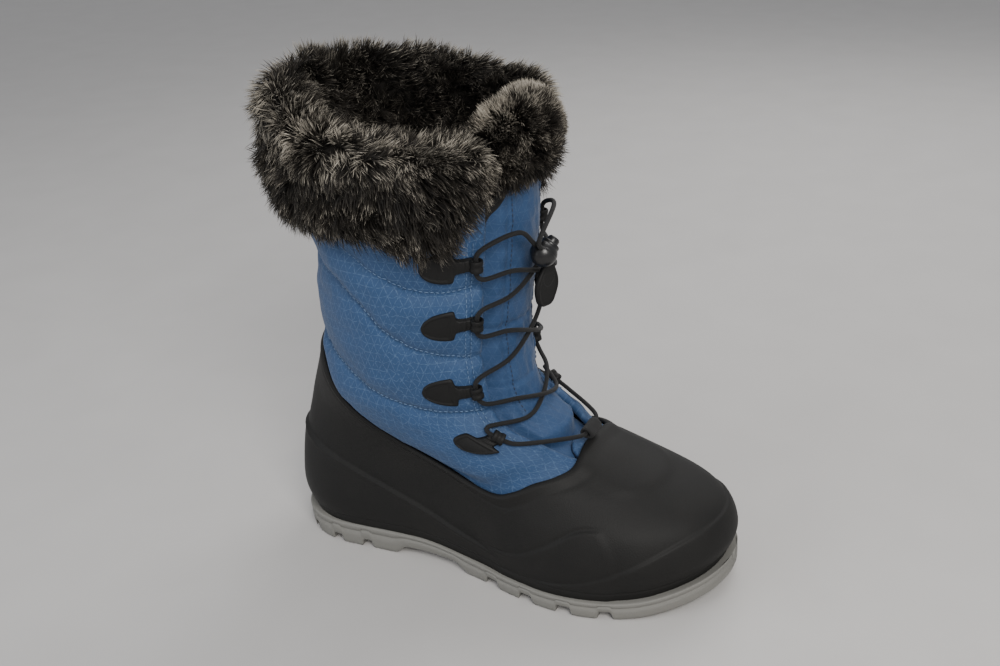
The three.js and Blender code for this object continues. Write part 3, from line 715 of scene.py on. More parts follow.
@dataclass(frozen=True)
class Thread:
    """Sewing thread: plied, slightly shiny."""

    name: str
    colour: tuple[float, float, float]

    def build(self) -> Material:
        """Makes the material.

        Returns:
            The material.
        """
        s = Shader(self.name)
        ply = s.noise(0.3, 2)
        colour = s.blend(ply, tuple(c * 0.7 for c in self.colour), tuple(min(1.0, c * 1.2) for c in self.colour))
        return s.finish(colour, 0.5, s.bump(ply, 0.05, 0.6))


class Finishes:
    """Every finish in the model, built once."""

    def __init__(self) -> None:
        """Builds the materials."""
        self.sole = Rubber(
            name="grey_sole_rubber",
            colour=(0.145, 0.143, 0.132),
            dust=(0.20, 0.192, 0.172),
            dust_share=0.2,
            roughness=0.62,
            pebble=0.7,
            depth=0.05,
            specular=0.25,
        ).build()
        self.shell = Rubber(
            name="black_shell_rubber",
            colour=(0.0072, 0.0071, 0.0068),
            dust=(0.024, 0.023, 0.021),
            dust_share=0.16,
            roughness=0.6,
            pebble=0.75,
            depth=0.16,
            specular=0.2,
        ).build()
        self.tab = Rubber(
            name="black_tab_rubber",
            colour=(0.0055, 0.0055, 0.0055),
            dust=(0.02, 0.019, 0.017),
            dust_share=0.1,
            roughness=0.56,
            pebble=0.6,
            depth=0.12,
            specular=0.2,
        ).build()
        self.blue = Ripstop(
            name="blue_ripstop",
            colour=(0.026, 0.060, 0.136),
            light=(0.13, 0.21, 0.34),
            lattice=0.40,
        ).build()
        self.panel = Ripstop(
            name="blue_panel",
            colour=(0.025, 0.057, 0.130),
            light=(0.11, 0.18, 0.30),
            lattice=0.2,
        ).build()
        self.hair = Pile(
            name="grizzled_pile",
            root=(0.009, 0.0082, 0.0075),
            middle=(0.04, 0.035, 0.029),
            tip=(0.46, 0.42, 0.35),
        ).build()
        self.hide = Fleece(
            name="pile_backing",
            colour=(0.010, 0.009, 0.008),
            size=1.4,
            depth=1.0,
        ).build()
        self.lining = Fleece(
            name="dark_fleece",
            colour=(0.014, 0.0135, 0.0145),
            size=1.0,
            depth=0.6,
        ).build()
        self.felt = Fleece(
            name="footbed_felt",
            colour=(0.04, 0.04, 0.043),
            size=0.8,
            depth=0.4,
        ).build()
        self.cord = Braid("black_cord", (0.005, 0.005, 0.0052)).build()
        self.tape = Braid(
            name="black_tape",
            colour=(0.006, 0.006, 0.0062),
            pitch=0.9,
        ).build()
        self.gloss = Gloss("black_gloss", (0.006, 0.006, 0.0065)).build()
        self.thread = Thread("pale_thread", (0.10, 0.165, 0.28)).build()
        self.dark_thread = Thread("dark_thread", (0.02, 0.03, 0.06)).build()


# --------------------------------------------------------------------------- mesh making


@dataclass
class MeshData:
    """Vertices, faces, UVs and face materials on their way to a mesh."""

    points: list = field(default_factory=list)
    faces: list = field(default_factory=list)
    uvs: list = field(default_factory=list)
    slots: list = field(default_factory=list)
    count: int = 0

    def add(self, points: Array, faces: Array, uvs: Optional[Array] = None, slot: int | Array = 0) -> None:
        """Adds a patch.

        Args:
            points: vertices, shape (n, 3), in millimetres.
            faces: vertex indices, shape (m, k), all of one size.
            uvs: one UV to a vertex.
            slot: material index of its faces, one or one to a face.
        """
        self.points.append(np.asarray(points, float))
        self.faces.append(np.asarray(faces, int) + self.count)
        self.uvs.append(np.zeros((len(points), 2)) if uvs is None else np.asarray(uvs, float))
        self.slots.append(np.broadcast_to(np.asarray(slot, int), (len(faces),)))
        self.count += len(points)


class Workshop:
    """Makes pieces: places them, dresses them and lets them ride."""

    def __init__(self, place: Placement, finishes: Finishes) -> None:
        """Keeps the tools.

        Args:
            place: the drawing's place in the frame.
            finishes: the materials.
        """
        self.place = place
        self.finishes = finishes

    def piece(
        self,
        name: str,
        data: MeshData,
        materials: Sequence[Material],
        slot: str,
        stands_for: Sequence[str] = (),
        body: Body = Body.BOOT,
        shade_smooth: bool = True,
        outward: bool = False,
    ) -> bpy.types.Object:
        """Turns mesh data into a riding piece.

        Args:
            name: the piece's name.
            data: its mesh.
            materials: its materials, in slot order.
            slot: not used.
            stands_for: the CAD nodes it replaces.
            body: the body it rides on.
            shade_smooth: smooth or flat shading.
            outward: recalculate the normals to face out.

        Returns:
            The object.
        """
        points = self.place(np.concatenate(data.points))
        uvs = np.concatenate(data.uvs)
        corners = [f.reshape(-1) for f in data.faces]
        sizes = np.concatenate([np.full(len(f), f.shape[1]) for f in data.faces])
        loops = np.concatenate(corners)
        mesh = bpy.data.meshes.new(name)
        mesh.vertices.add(len(points))
        mesh.vertices.foreach_set("co", points.astype(np.float32).reshape(-1))
        mesh.loops.add(len(loops))
        mesh.loops.foreach_set("vertex_index", loops.astype(np.int32))
        mesh.polygons.add(len(sizes))
        starts = np.concatenate([[0], np.cumsum(sizes)[:-1]])
        mesh.polygons.foreach_set("loop_start", starts.astype(np.int32))
        mesh.polygons.foreach_set("loop_total", sizes.astype(np.int32))
        mesh.polygons.foreach_set("material_index", np.concatenate(data.slots).astype(np.int32))
        mesh.polygons.foreach_set("use_smooth", np.full(len(sizes), shade_smooth))
        mesh.update(calc_edges=True)
        layer = mesh.uv_layers.new(name="UVMap")
        layer.data.foreach_set("uv", uvs[loops].astype(np.float32).reshape(-1))
        mesh.validate()
        if outward:
            work = bmesh.new()
            work.from_mesh(mesh)
            bmesh.ops.recalc_face_normals(work, faces=work.faces)
            work.to_mesh(mesh)
            work.free()
        for material in materials:
            mesh.materials.append(material)
        obj = bpy.data.objects.new(name, mesh)
        bpy.context.scene.collection.objects.link(obj)
        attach(obj, body.value)
        if stands_for:
            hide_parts(*stands_for)
        LOG.info("%s: %d faces", name, len(sizes))
        return obj


def sheet(
    data: MeshData,
    outer: Array,
    inner: Array,
    mask: Optional[Array],
    ring: bool,
    uv: Array,
    slots: tuple = (0, 0, 0),
) -> None:
    """A walled sheet from two grids, with walls round every edge of the cells that exist.

    Args:
        data: mesh data to add to.
        outer: outer points, shape (rows, columns, 3).
        inner: inner points, the same shape.
        mask: which cells exist, shape (rows - 1, cells); None for all.
        ring: whether the columns close on themselves.
        uv: cloth coordinates of the grid, shape (rows, columns, 2).
        slots: material indices (or per-cell arrays) of the outer face, the inner face and the walls.
    """
    rows, cols = outer.shape[:2]
    cells = cols if ring else cols - 1
    mask = np.ones((rows - 1, cells), bool) if mask is None else mask
    index = np.arange(rows * cols).reshape(rows, cols)
    nxt = (np.arange(cells) + 1) % cols
    a, b = index[:-1, :cells], index[:-1, nxt]
    c, d = index[1:, nxt], index[1:, :cells]
    base = rows * cols
    points = np.concatenate([outer.reshape(-1, 3), inner.reshape(-1, 3)])
    uvs = np.concatenate([uv.reshape(-1, 2)] * 2)
    quads = np.stack([a, b, c, d], -1)[mask]

    def per(slot: object) -> object:
        """The slots of the cells that exist."""
        return np.asarray(slot)[mask] if isinstance(slot, Array) else slot

    faces = [quads, quads[:, ::-1] + base]
    marks = [np.broadcast_to(per(slots[0]), (len(quads),)), np.broadcast_to(per(slots[1]), (len(quads),))]
    empty = np.zeros((1, cells), bool)
    below = ~np.concatenate([empty, mask[:-1]]) & mask
    above = ~np.concatenate([mask[1:], empty]) & mask
    if ring:
        left, right = ~np.roll(mask, 1, 1) & mask, ~np.roll(mask, -1, 1) & mask
    else:
        side = np.zeros((rows - 1, 1), bool)
        left = ~np.concatenate([side, mask[:, :-1]], 1) & mask
        right = ~np.concatenate([mask[:, 1:], side], 1) & mask
    for which, p, q in ((below, b, a), (above, d, c), (left, a, d), (right, c, b)):
        wall = np.stack([p, q, q + base, p + base], -1)[which]
        faces.append(wall)
        marks.append(np.full(len(wall), slots[2]))
    data.add(points, np.concatenate(faces), uvs, np.concatenate(marks))


def cloth_uv(points: Array) -> Array:
    """Cloth coordinates in millimetres: running lengths along the rows and up the columns.

    Args:
        points: grid points, shape (rows, columns, 3).

    Returns:
        UVs, shape (rows, columns, 2).
    """
    middle = points[points.shape[0] // 2]
    run = np.concatenate([[0], np.cumsum(np.linalg.norm(np.diff(middle, axis=0), axis=-1))])
    steps = np.linalg.norm(np.diff(points, axis=0), axis=-1)
    rise = np.concatenate([np.zeros((1, points.shape[1])), np.cumsum(steps, 0)])
    top = rise[-1:, :]
    return np.stack([np.broadcast_to(run, rise.shape), rise - top], -1)


def bands(index: Array) -> Array:
    """Quads between the rows of a grid whose rows are closed rings."""
    ahead = np.roll(index, -1, axis=1)
    return np.stack([index[:-1], ahead[:-1], ahead[1:], index[1:]], -1).reshape(-1, 4)


def end_fans(index: Array, low: int, high: int) -> Array:
    """Closes a loft of rings with a fan of triangles at either end.

    Args:
        index: vertex numbers, one ring to a row.
        low: the point that closes the first ring.
        high: the point that closes the last ring.

    Returns:
        The triangles.
    """
    first, last = index[0], index[-1]
    start = np.stack([np.full(len(first), low), np.roll(first, -1), first], -1)
    end = np.stack([np.full(len(last), high), last, np.roll(last, -1)], -1)
    return np.concatenate([start, end])


def tube(data: MeshData, path: Array, radius: float | Array, sides: int = 12, slot: int = 0, flat: float = 1.0) -> None:
    """A round-ended tube along a path.

    Args:
        data: mesh data to add to.
        path: points, shape (n, 3).
        radius: one radius or one to a point.
        sides: points round it.
        slot: material index.
        flat: squash of the second cross axis.
    """
    n = len(path)
    tangent = np.gradient(path, axis=0)
    tangent /= np.linalg.norm(tangent, axis=1, keepdims=True)
    u = np.zeros_like(path)
    start = np.array([0, 0, 1.0]) if abs(tangent[0, 2]) < 0.9 else np.array([1.0, 0, 0])
    for k in range(n):
        start = start - tangent[k] * (start @ tangent[k])
        start /= np.linalg.norm(start)
        u[k] = start
    v = np.cross(tangent, u)
    angle = np.linspace(0, 2 * math.pi, sides, endpoint=False)
    r = np.broadcast_to(np.asarray(radius, float), (n,))[:, None, None]
    cos, sin = np.cos(angle)[None, :, None], np.sin(angle)[None, :, None]
    rings = path[:, None] + r * (u[:, None] * cos + flat * v[:, None] * sin)
    run = np.concatenate([[0], np.cumsum(np.linalg.norm(np.diff(path, axis=0), axis=1))])
    index = np.arange(n * sides).reshape(n, sides)
    quads = bands(index)
    tips = path[:1] - tangent[:1] * r[0, 0, 0] * 0.5, path[-1:] + tangent[-1:] * r[-1, 0, 0] * 0.5
    points = np.concatenate([rings.reshape(-1, 3), *tips])
    wrap = np.broadcast_to(angle / (2 * math.pi) * (2 * math.pi * float(np.mean(r))), (n, sides))
    uv = np.stack([wrap, np.broadcast_to(run[:, None], (n, sides))], -1).reshape(-1, 2)
    uv = np.concatenate([uv, [[0, 0], [0, run[-1]]]])
    caps = end_fans(index, n * sides, n * sides + 1)
    start_count = data.count
    data.add(points, quads, uv, slot)
    data.faces.append(caps + start_count)
    data.slots.append(np.full(len(caps), slot))


def spline(points: Sequence[Sequence[float]], step: float) -> Array:
    """A centripetal curve through points, sampled at an even step.

    Args:
        points: control points.
        step: sample spacing.

    Returns:
        Samples, shape (n, 3).
    """
    p = np.asarray(points, float)
    p = np.concatenate([[2 * p[0] - p[1]], p, [2 * p[-1] - p[-2]]])
    out = []
    for i in range(1, len(p) - 2):
        p0, p1, p2, p3 = p[i - 1 : i + 3]
        t0 = 0.0
        t1 = t0 + max(1e-6, np.linalg.norm(p1 - p0)) ** 0.5
        t2 = t1 + max(1e-6, np.linalg.norm(p2 - p1)) ** 0.5
        t3 = t2 + max(1e-6, np.linalg.norm(p3 - p2)) ** 0.5
        t = np.linspace(t1, t2, 24, endpoint=False)[:, None]
        a1 = (t1 - t) / (t1 - t0) * p0 + (t - t0) / (t1 - t0) * p1
        a2 = (t2 - t) / (t2 - t1) * p1 + (t - t1) / (t2 - t1) * p2
        a3 = (t3 - t) / (t3 - t2) * p2 + (t - t2) / (t3 - t2) * p3
        b1 = (t2 - t) / (t2 - t0) * a1 + (t - t0) / (t2 - t0) * a2
        b2 = (t3 - t) / (t3 - t1) * a2 + (t - t1) / (t3 - t1) * a3
        out.append((t2 - t) / (t2 - t1) * b1 + (t - t1) / (t2 - t1) * b2)
    out.append(p[-2:-1])
    line = np.concatenate(out)
    run = np.concatenate([[0], np.cumsum(np.linalg.norm(np.diff(line, axis=0), axis=1))])
    even = np.linspace(0, run[-1], max(2, int(run[-1] / step) + 1))
    return np.stack([np.interp(even, run, line[:, k]) for k in range(3)], -1)


def turned(
    data: MeshData,
    profile: Sequence[tuple[float, float]],
    centre: Array,
    axis: Array,
    sides: int = 40,
    slot: int = 0,
) -> None:
    """A turned body; a profile row is (radius, height), from one pole to the other.

    Args:
        data: mesh data to add to.
        profile: the rows.
        centre: origin of the heights.
        axis: unit axis.
        sides: points round it.
        slot: material index.
    """
    w = axis / np.linalg.norm(axis)
    u = np.cross([0, 0, 1.0], w)
    u /= np.linalg.norm(u)
    v = np.cross(w, u)
    rows = np.asarray(profile, float)
    angle = np.linspace(0, 2 * math.pi, sides, endpoint=False)
    ring = u[None] * np.cos(angle)[:, None] + v[None] * np.sin(angle)[:, None]
    points = centre + rows[:, None, 1:2] * w + rows[:, None, 0:1] * ring[None]
    n = len(rows)
    index = np.arange(n * sides).reshape(n, sides)
    start = data.count
    data.add(points.reshape(-1, 3), bands(index), None, slot)
    data.points.append(np.stack([centre + w * rows[0, 1], centre + w * rows[-1, 1]]))
    data.uvs.append(np.zeros((2, 2)))
    caps = end_fans(index + start, data.count, data.count + 1)
    data.count += 2
    data.faces.append(caps)
    data.slots.append(np.full(len(caps), slot))


# --------------------------------------------------------------------------- sole and footbed


@dataclass(frozen=True)
class Notch:
    """A gap between two lugs, along x."""

    start: float
    end: float


@dataclass
class Outsole:
    """The lugged rubber sole, with a moulded side, lugs and a central tread."""

    shop: Workshop
    lug_depth: float = 5.0
    band: float = 17.0
    tread_depth: float = 3.2
    arch: tuple[float, float, float, float] = (78, 88, 122, 134)
    arch_rise: float = 6.0
    notches: tuple[Notch, ...] = (
        Notch(13, 19), Notch(33, 41), Notch(55, 63),
        Notch(147, 157), Notch(172, 182), Notch(197, 207), Notch(222, 231),
    )
    stations: int = 330
    across: int = 44

    def bottom(self, x: Array, edge: Array, y: Array) -> Array:
        """Height of the underside.

        Args:
            x: distance from the heel's back.
            edge: distance in from the outline.
            y: distance across.

        Returns:
            Height in millimetres.
        """
        a, b, c, d = self.arch
        low = Last.toe_rise(x) + self.arch_rise * smooth(a, b, x) * (1 - smooth(c, d, x))
        cut = np.zeros_like(x)
        for n in self.notches:
            cut = np.maximum(cut, smooth(n.start - 0.3, n.start + 1.1, x) * (1 - smooth(n.end - 1.1, n.end + 0.3, x)))
        side = cut * (1 - smooth(self.band - 1, self.band + 0.6, edge))
        # centre tread: chevron bars with a groove round the inside of the lugs
        bars = np.abs(((x + 0.55 * np.abs(y)) / 15.0) % 1 - 0.5) * 2
        groove = smooth(0.55, 0.68, bars)
        ring = smooth(self.band - 2.4, self.band - 1.2, edge) * (1 - smooth(self.band + 0.8, self.band + 2.0, edge))
        flat = 1 - smooth(a - 6, a, x) * (1 - smooth(d, d + 6, x))
        centre = np.maximum(groove * smooth(self.band, self.band + 2, edge), ring) * flat
        return low + self.lug_depth * side + self.tread_depth * centre * (1 - side) + 0.5 * (1 - smooth(0, 1.1, edge))

    def build(self) -> bpy.types.Object:
        """Makes the sole as one loft.

        Returns:
            The piece.
        """
        c = 0.5 - 0.5 * np.cos(np.linspace(0.06, math.pi - 0.06, self.stations))
        edges = np.array([x for n in self.notches for x in (n.start, n.end)])
        c = np.unique(np.concatenate([c, edges / SOLE_LENGTH]))
        x = c * SOLE_LENGTH
        half_l, centre = Last.outline(c, "LATERAL")
        half_m, _ = Last.outline(c, "MEDIAL")
        y0, y1 = centre - half_l, centre + half_m
        v = np.concatenate([[0, 0.008, 0.02], np.linspace(0.045, 0.955, self.across), [0.98, 0.992, 1]])
        y = mix(y0[:, None], y1[:, None], v[None])
        yy, xx = y, np.broadcast_to(x[:, None], y.shape)
        edge = np.minimum(yy - y0[:, None], y1[:, None] - yy)
        near_end = np.minimum(x, SOLE_LENGTH - x)
        edge = np.minimum(edge, near_end[:, None] + 0.4)
        under = self.bottom(xx, edge, yy)
        top = Last.sole_top(x)
        # side wall, from the ground up: bevel, straight wall, shallow groove, lip
        rise = np.array([0.0, 0.18, 0.40, 0.62, 0.66, 0.72, 0.76, 0.93, 0.985, 1.0])
        out = np.array([-0.4, 0.1, 0.25, 0.3, -0.35, -0.35, 0.3, 0.45, 0.1, -0.9])

        def wall(which: Array, sign: float, foot: Array) -> Array:
            """One side wall over the outline's edge."""
            z = mix(foot[:, None], top[:, None], rise[None])
            scale = np.clip((y1 - y0) / 12, 0, 1)[:, None]
            yw = which[:, None] + sign * out[None] * scale
            return np.stack([np.broadcast_to(x[:, None], z.shape), yw, z], -1)

        right = wall(y1, 1, under[:, -1])
        left = wall(y0, -1, under[:, 0])[:, ::-1]
        inner = np.linspace(0.97, 0.03, 9)
        grid = (len(x), len(inner))
        roof_y = mix(y0[:, None], y1[:, None], inner[None])
        roof = np.stack([np.broadcast_to(x[:, None], grid), roof_y, np.broadcast_to(top[:, None] - 0.02, grid)], -1)
        floor = np.stack([xx, yy, under], -1)
        loop = np.concatenate([floor[:, 1:-1], right, roof, left], 1)
        n, k = loop.shape[:2]
        index = np.arange(n * k).reshape(n, k)
        data = MeshData()
        data.add(loop.reshape(-1, 3), bands(index), loop.reshape(-1, 3)[:, :2])
        ends = np.stack([loop[0].mean(0), loop[-1].mean(0)])
        data.points.append(ends)
        data.uvs.append(np.zeros((2, 2)))
        caps = end_fans(index, n * k, n * k + 1)
        data.faces.append(caps)
        data.slots.append(np.zeros(len(caps), int))
        data.count += 2
        return self.shop.piece("sole_rubber", data, [self.shop.finishes.sole], "grey_rubber", ["outsole"], outward=True)


# --------------------------------------------------------------------------- rubber shell


@dataclass
class Shell:
    """The moulded black rubber lower: heel bumper, mudguard, toe cap and a rolled top edge."""

    shop: Workshop
    columns: int = 300
    rows: int = 110
    wall: float = SHELL_WALL

    @staticmethod
    def relief(theta: Array, ring: Array, points: Array) -> Array:
        """How far the moulding stands proud of the last.

        Args:
            theta: way round from the back.
            ring: ring number.
            points: the last's points there.

        Returns:
            Lift in millimetres.
        """
        x, z = points[..., 0], points[..., 2]
        c = (1 - np.cos(theta)) / 2
        edge = Last.shell_edge(theta)
        # heel bumper: proud below a line that runs down from the heel's back towards the arch
        line = mix(74, 24, smooth(0.0, 0.55, c) * 0.35 + c * 1.15)
        heel = 1.5 * (1 - smooth(-0.9, 0.9, z - line)) * (1 - smooth(0.46, 0.60, c))
        ridge = 0.5 * np.exp(-(((z - line + 1.2) / 1.1) ** 2)) * (1 - smooth(0.42, 0.56, c))
        # toe cap: proud below a line that climbs round the toe
        cap_line = 18 + 30 * smooth(0.62, 1.0, c) ** 1.25
        cap = 1.25 * (1 - smooth(-0.8, 0.8, z - cap_line)) * smooth(0.56, 0.68, c)
        # mudguard band just above the sole, all the way round
        above = z - Last.sole_top(x)
        guard = 0.7 * (1 - smooth(4.2, 5.2, above))
        seam = -0.45 * np.exp(-(((above - 6.0) / 0.7) ** 2))
        # a second overlay on the forefoot's side, with its step near the vamp
        side_line = 29 + 26 * smooth(0.55, 0.80, c)
        overlay = 0.8 * (1 - smooth(-0.7, 0.7, z - side_line)) * smooth(0.50, 0.58, c) * (1 - smooth(0.81, 0.825, c))
        crease = -0.5 * np.exp(-(((z - side_line - 1.2) / 0.8) ** 2)) * smooth(0.50, 0.58, c) * (1 - smooth(0.80, 0.83, c))
        # the vamp's raised tongue under the lace loop, and the rolled edge
        vamp = 0.9 * smooth(0.90, 0.955, c) * smooth(3.0, 3.3, ring)
        roll = 0.55 * np.exp(-(((ring - edge + 0.12) / 0.09) ** 2))
        lip = -0.35 * np.exp(-(((ring - edge + 0.36) / 0.06) ** 2))
        lift = np.maximum(np.maximum(heel, cap), guard) + ridge + seam + overlay + crease + vamp + roll + lip
        return lift + 0.18 * NOISE(x / 16, points[..., 1] / 16, z / 16)

    def build(self) -> bpy.types.Object:
        """Makes the shell.

        Returns:
            The piece.
        """
        theta = np.linspace(0, 2 * math.pi, self.columns, endpoint=False)[None]
        t = np.linspace(0, 1, self.rows)[:, None]
        ring = Last.shell_edge(theta) * (0.62 * t + 0.38 * t * t)
        theta = np.broadcast_to(theta, ring.shape)
        base = Last.point(theta, ring)
        lift = self.relief(theta, ring, base)
        rounding = 0.9 * smooth(0.975, 1.0, t) ** 2
        outer = Last.lifted(theta, ring, lift - rounding)
        inner = Last.lifted(theta, ring, np.full_like(ring, -self.wall) + rounding * 0.6)
        outer[0, :, 2] = np.maximum(outer[0, :, 2], Last.sole_top(outer[0, :, 0]) + 0.15)
        inner[0, :, 2] = Last.sole_top(inner[0, :, 0]) + 0.15
        data = MeshData()
        sheet(data, outer, inner, None, True, cloth_uv(outer), (0, 1, 0))
        dress = [self.shop.finishes.shell, self.shop.finishes.lining]
        return self.shop.piece("shell_rubber", data, dress, "black_rubber", ["shell"], outward=True)


# --------------------------------------------------------------------------- quilted shaft


class Quilting:
    """The quilt's three seams and its puffed bands, shared by the shaft and its stitching."""

    SEAMS = (
        Table((0.0, 0.08, 0.2, 0.38, 0.6, 0.8, 1.0), {"ring": (6.95, 6.85, 6.66, 6.24, 6.0, 5.98, 6.12)}),
        Table((0.0, 0.08, 0.2, 0.36, 0.55, 0.7, 0.87, 1.0), {"ring": (8.5, 8.38, 8.2, 7.92, 7.32, 7.06, 6.9, 6.96)}),
        Table((0.0, 0.08, 0.34, 0.5, 0.65, 0.8, 1.0), {"ring": (9.45, 9.32, 8.66, 8.32, 8.08, 7.99, 8.1)}),
    )

    @classmethod
    def seam(cls, index: int, theta: Array) -> Array:
        """Ring number of one seam.

        Args:
            index: 0 is the lowest.
            theta: way round from the back.

        Returns:
            Ring numbers.
        """
        return cls.SEAMS[index].read("ring", (1 - np.cos(theta)) / 2)

    @classmethod
    def puff(cls, theta: Array, ring: Array, points: Array) -> Array:
        """Padding and wrinkles over the plain cloth.

        Args:
            theta: way round from the back.
            ring: ring number.
            points: the last's points there.

        Returns:
            Lift in millimetres.
        """
        lines = [Last.shell_edge(theta) - 0.1] + [cls.seam(k, theta) for k in range(3)] + [np.full(np.shape(theta), 10.6)]
        lift = np.zeros(np.shape(ring))
        near = np.full(np.shape(ring), 99.0)
        for low, high in zip(lines[:-1], lines[1:]):
            t = (ring - low) / np.maximum(high - low, 0.05)
            inside = (t >= 0) & (t <= 1)
            form = np.clip(1 - np.abs(2 * t - 1) ** 2.6, 0, 1) ** 0.6
            lift = np.where(inside, 5.0 * form - 2.7, lift)
        for k in range(3):
            near = np.minimum(near, np.abs(ring - cls.seam(k, theta)) * 27)
        x, y, z = (points[..., k] for k in range(3))
        run = theta * 62
        c = (1 - np.cos(theta)) / 2
        gathers = 0.75 * NOISE(run / 3.6, z / 20, 3.0) * np.exp(-near / 6.0)
        crumple = 0.7 * NOISE(x / 13, y / 13, z / 9) + 0.28 * NOISE(x / 5, y / 5, z / 5)
        front = smooth(0.78, 0.95, c)
        drawn = 0.9 * front * NOISE(x / 6 + z / 9, y / 6, z / 6)
        return lift + gathers + crumple + drawn


@dataclass
class Shaft:
    """The blue quilted shaft, open at the throat, with a dark lining inside."""

    shop: Workshop
    side_columns: int = 96
    front_columns: int = 20
    rows: int = 150
    foot_rows: int = 14
    wall: float = SHAFT_WALL

    def angles(self, ring: Array) -> Array:
        """The columns' angles, with the throat's edges on columns.

        Args:
            ring: ring numbers, shape (rows, columns).

        Returns:
            Angles, the same shape.
        """
        s, f = self.side_columns, self.front_columns
        total = 2 * s + f
        i = np.arange(total)[None]
        throat = Last.throat(ring)
        edge = math.pi - throat
        # columns close up towards the throat's edge
        q = i / s
        left = edge * q
        right = 2 * math.pi - edge * (total - i) / s
        front = edge + 2 * throat * (i - s) / f
        return np.where(i <= s, left, np.where(i < s + f, front, right))

    def build(self) -> bpy.types.Object:
        """Makes the shaft.

        Returns:
            The piece.
        """
        s, f = self.side_columns, self.front_columns
        total = 2 * s + f
        nominal = self.angles(np.full((1, total), 5.5))
        foot = Last.shell_edge(nominal) - 0.5
        t = np.linspace(0, 1, self.foot_rows)[:, None]
        low = foot + 0.72 * t
        u = np.linspace(0, 1, self.rows - self.foot_rows + 1)[1:, None]
        high = mix(foot + 0.72, SHAFT_TOP_RING, u)
        ring = np.concatenate([low, high])
        theta = self.angles(ring)
        base = Last.point(theta, ring)
        over = ring - Last.shell_edge(theta)
        tuck = smooth(0.05, 0.75, over)
        puff = Quilting.puff(theta, ring, base)
        edge_near = np.abs(np.abs(theta - math.pi) - Last.throat(ring)) * 55
        hem = np.exp(-((edge_near / 1.6) ** 2)) * -1.0 - 0.9 * np.exp(-(((edge_near - 5.2) / 0.9) ** 2))
        lift = mix(-SHELL_WALL - 0.6, -0.6 + puff + np.where(np.abs(theta - math.pi) < 1.2, hem, 0), tuck)
        outer = Last.lifted(theta, ring, lift)
        inner = Last.lifted(theta, ring, np.minimum(mix(-SHELL_WALL - SHAFT_TUCK, -0.6, tuck) - self.wall, lift - 1.2))
        mask = np.ones((self.rows - 1, total), bool)
        mask[self.foot_rows - 1 :, s : s + f] = False
        data = MeshData()
        sheet(data, outer, inner, mask, True, cloth_uv(outer), (0, 1, 0))
        dress = [self.shop.finishes.blue, self.shop.finishes.lining]
        return self.shop.piece("quilted_shaft", data, dress, "quilted_nylon", ["shaft"], outward=True)


@dataclass
class TonguePanel:
    """The blue front panel behind the lacing, gathered, with black gussets at its upper corners."""

    shop: Workshop
    columns: int = 84
    rows: int = 190
    wall: float = 2.6

    @staticmethod
    def lift(from_front: Array, ring: Array, points: Array) -> Array:
        """Lift of the panel's face.

        Args:
            from_front: angle from the front.
            ring: ring number.
            points: the last's points there.

        Returns:
            Lift in millimetres.
        """
        throat = Last.throat(ring)
        share = np.abs(from_front) / throat
        tucked = mix(-0.6 - SHAFT_WALL - 0.9, -0.7, smooth(9.2, 9.9, ring))
        open_ = -0.5 + 0.9 * (1 - smooth(0.0, 0.7, share))
        out = mix(tucked, open_, 1 - smooth(0.66, 0.97, share))
        x, y, z = (points[..., k] for k in range(3))
        fold = 0.85 * NOISE(y / 6.5 + 9, z / 24, 1.5) + 0.45 * NOISE(y / 3 + z / 9, z / 7, 4.0)
        fold = fold + 0.25 * NOISE(x / 4, y / 4, z / 4)
        belt = -0.9 * np.exp(-(((ring - 7.25) * 27 / 1.4) ** 2)) - 0.7 * np.exp(-(((ring - 6.35) * 27 / 1.2) ** 2))
        stitched = -0.8 * np.exp(-(((share - 0.56) * 30 / 1.3) ** 2))
        low = -SHELL_WALL - SHAFT_TUCK - SHAFT_WALL - 0.6
        cloth = out + fold * (1 - smooth(0.7, 0.95, share)) + belt + stitched * smooth(5.5, 6, ring)
        bulge = 1.7 * np.exp(-(((ring - 5.45) / 0.32) ** 2)) * (1 - np.clip(share, 0, 1) ** 2)
        return mix(low, cloth + bulge, smooth(4.95, 5.22, ring))

    def build(self) -> bpy.types.Object:
        """Makes the panel.

        Returns:
            The piece.
        """
        ring = np.broadcast_to(np.linspace(4.35, TONGUE_TOP_RING, self.rows)[:, None], (self.rows, self.columns))
        wide = mix(Last.throat(ring) + 0.16, 0.47, smooth(9.0, 9.7, ring))
        from_front = np.linspace(-1, 1, self.columns)[None] * wide
        theta = math.pi + from_front
        base = Last.point(theta, ring)
        lift = self.lift(from_front, ring, base)
        outer = Last.lifted(theta, ring, lift)
        inner = Last.lifted(theta, ring, lift - self.wall)
        share = np.abs(np.linspace(-1, 1, self.columns))[None, :-1]
        mid = (share > 0.74) & (ring[:-1, :-1] > 8.95)
        data = MeshData()
        sheet(data, outer, inner, None, False, cloth_uv(outer), (mid.astype(int) * 2, 1, 1))
        dress = [self.shop.finishes.panel, self.shop.finishes.lining, self.shop.finishes.tape]
        return self.shop.piece("tongue_panel", data, dress, "quilted_nylon", ["tongue"], outward=True)


# --------------------------------------------------------------------------- fur


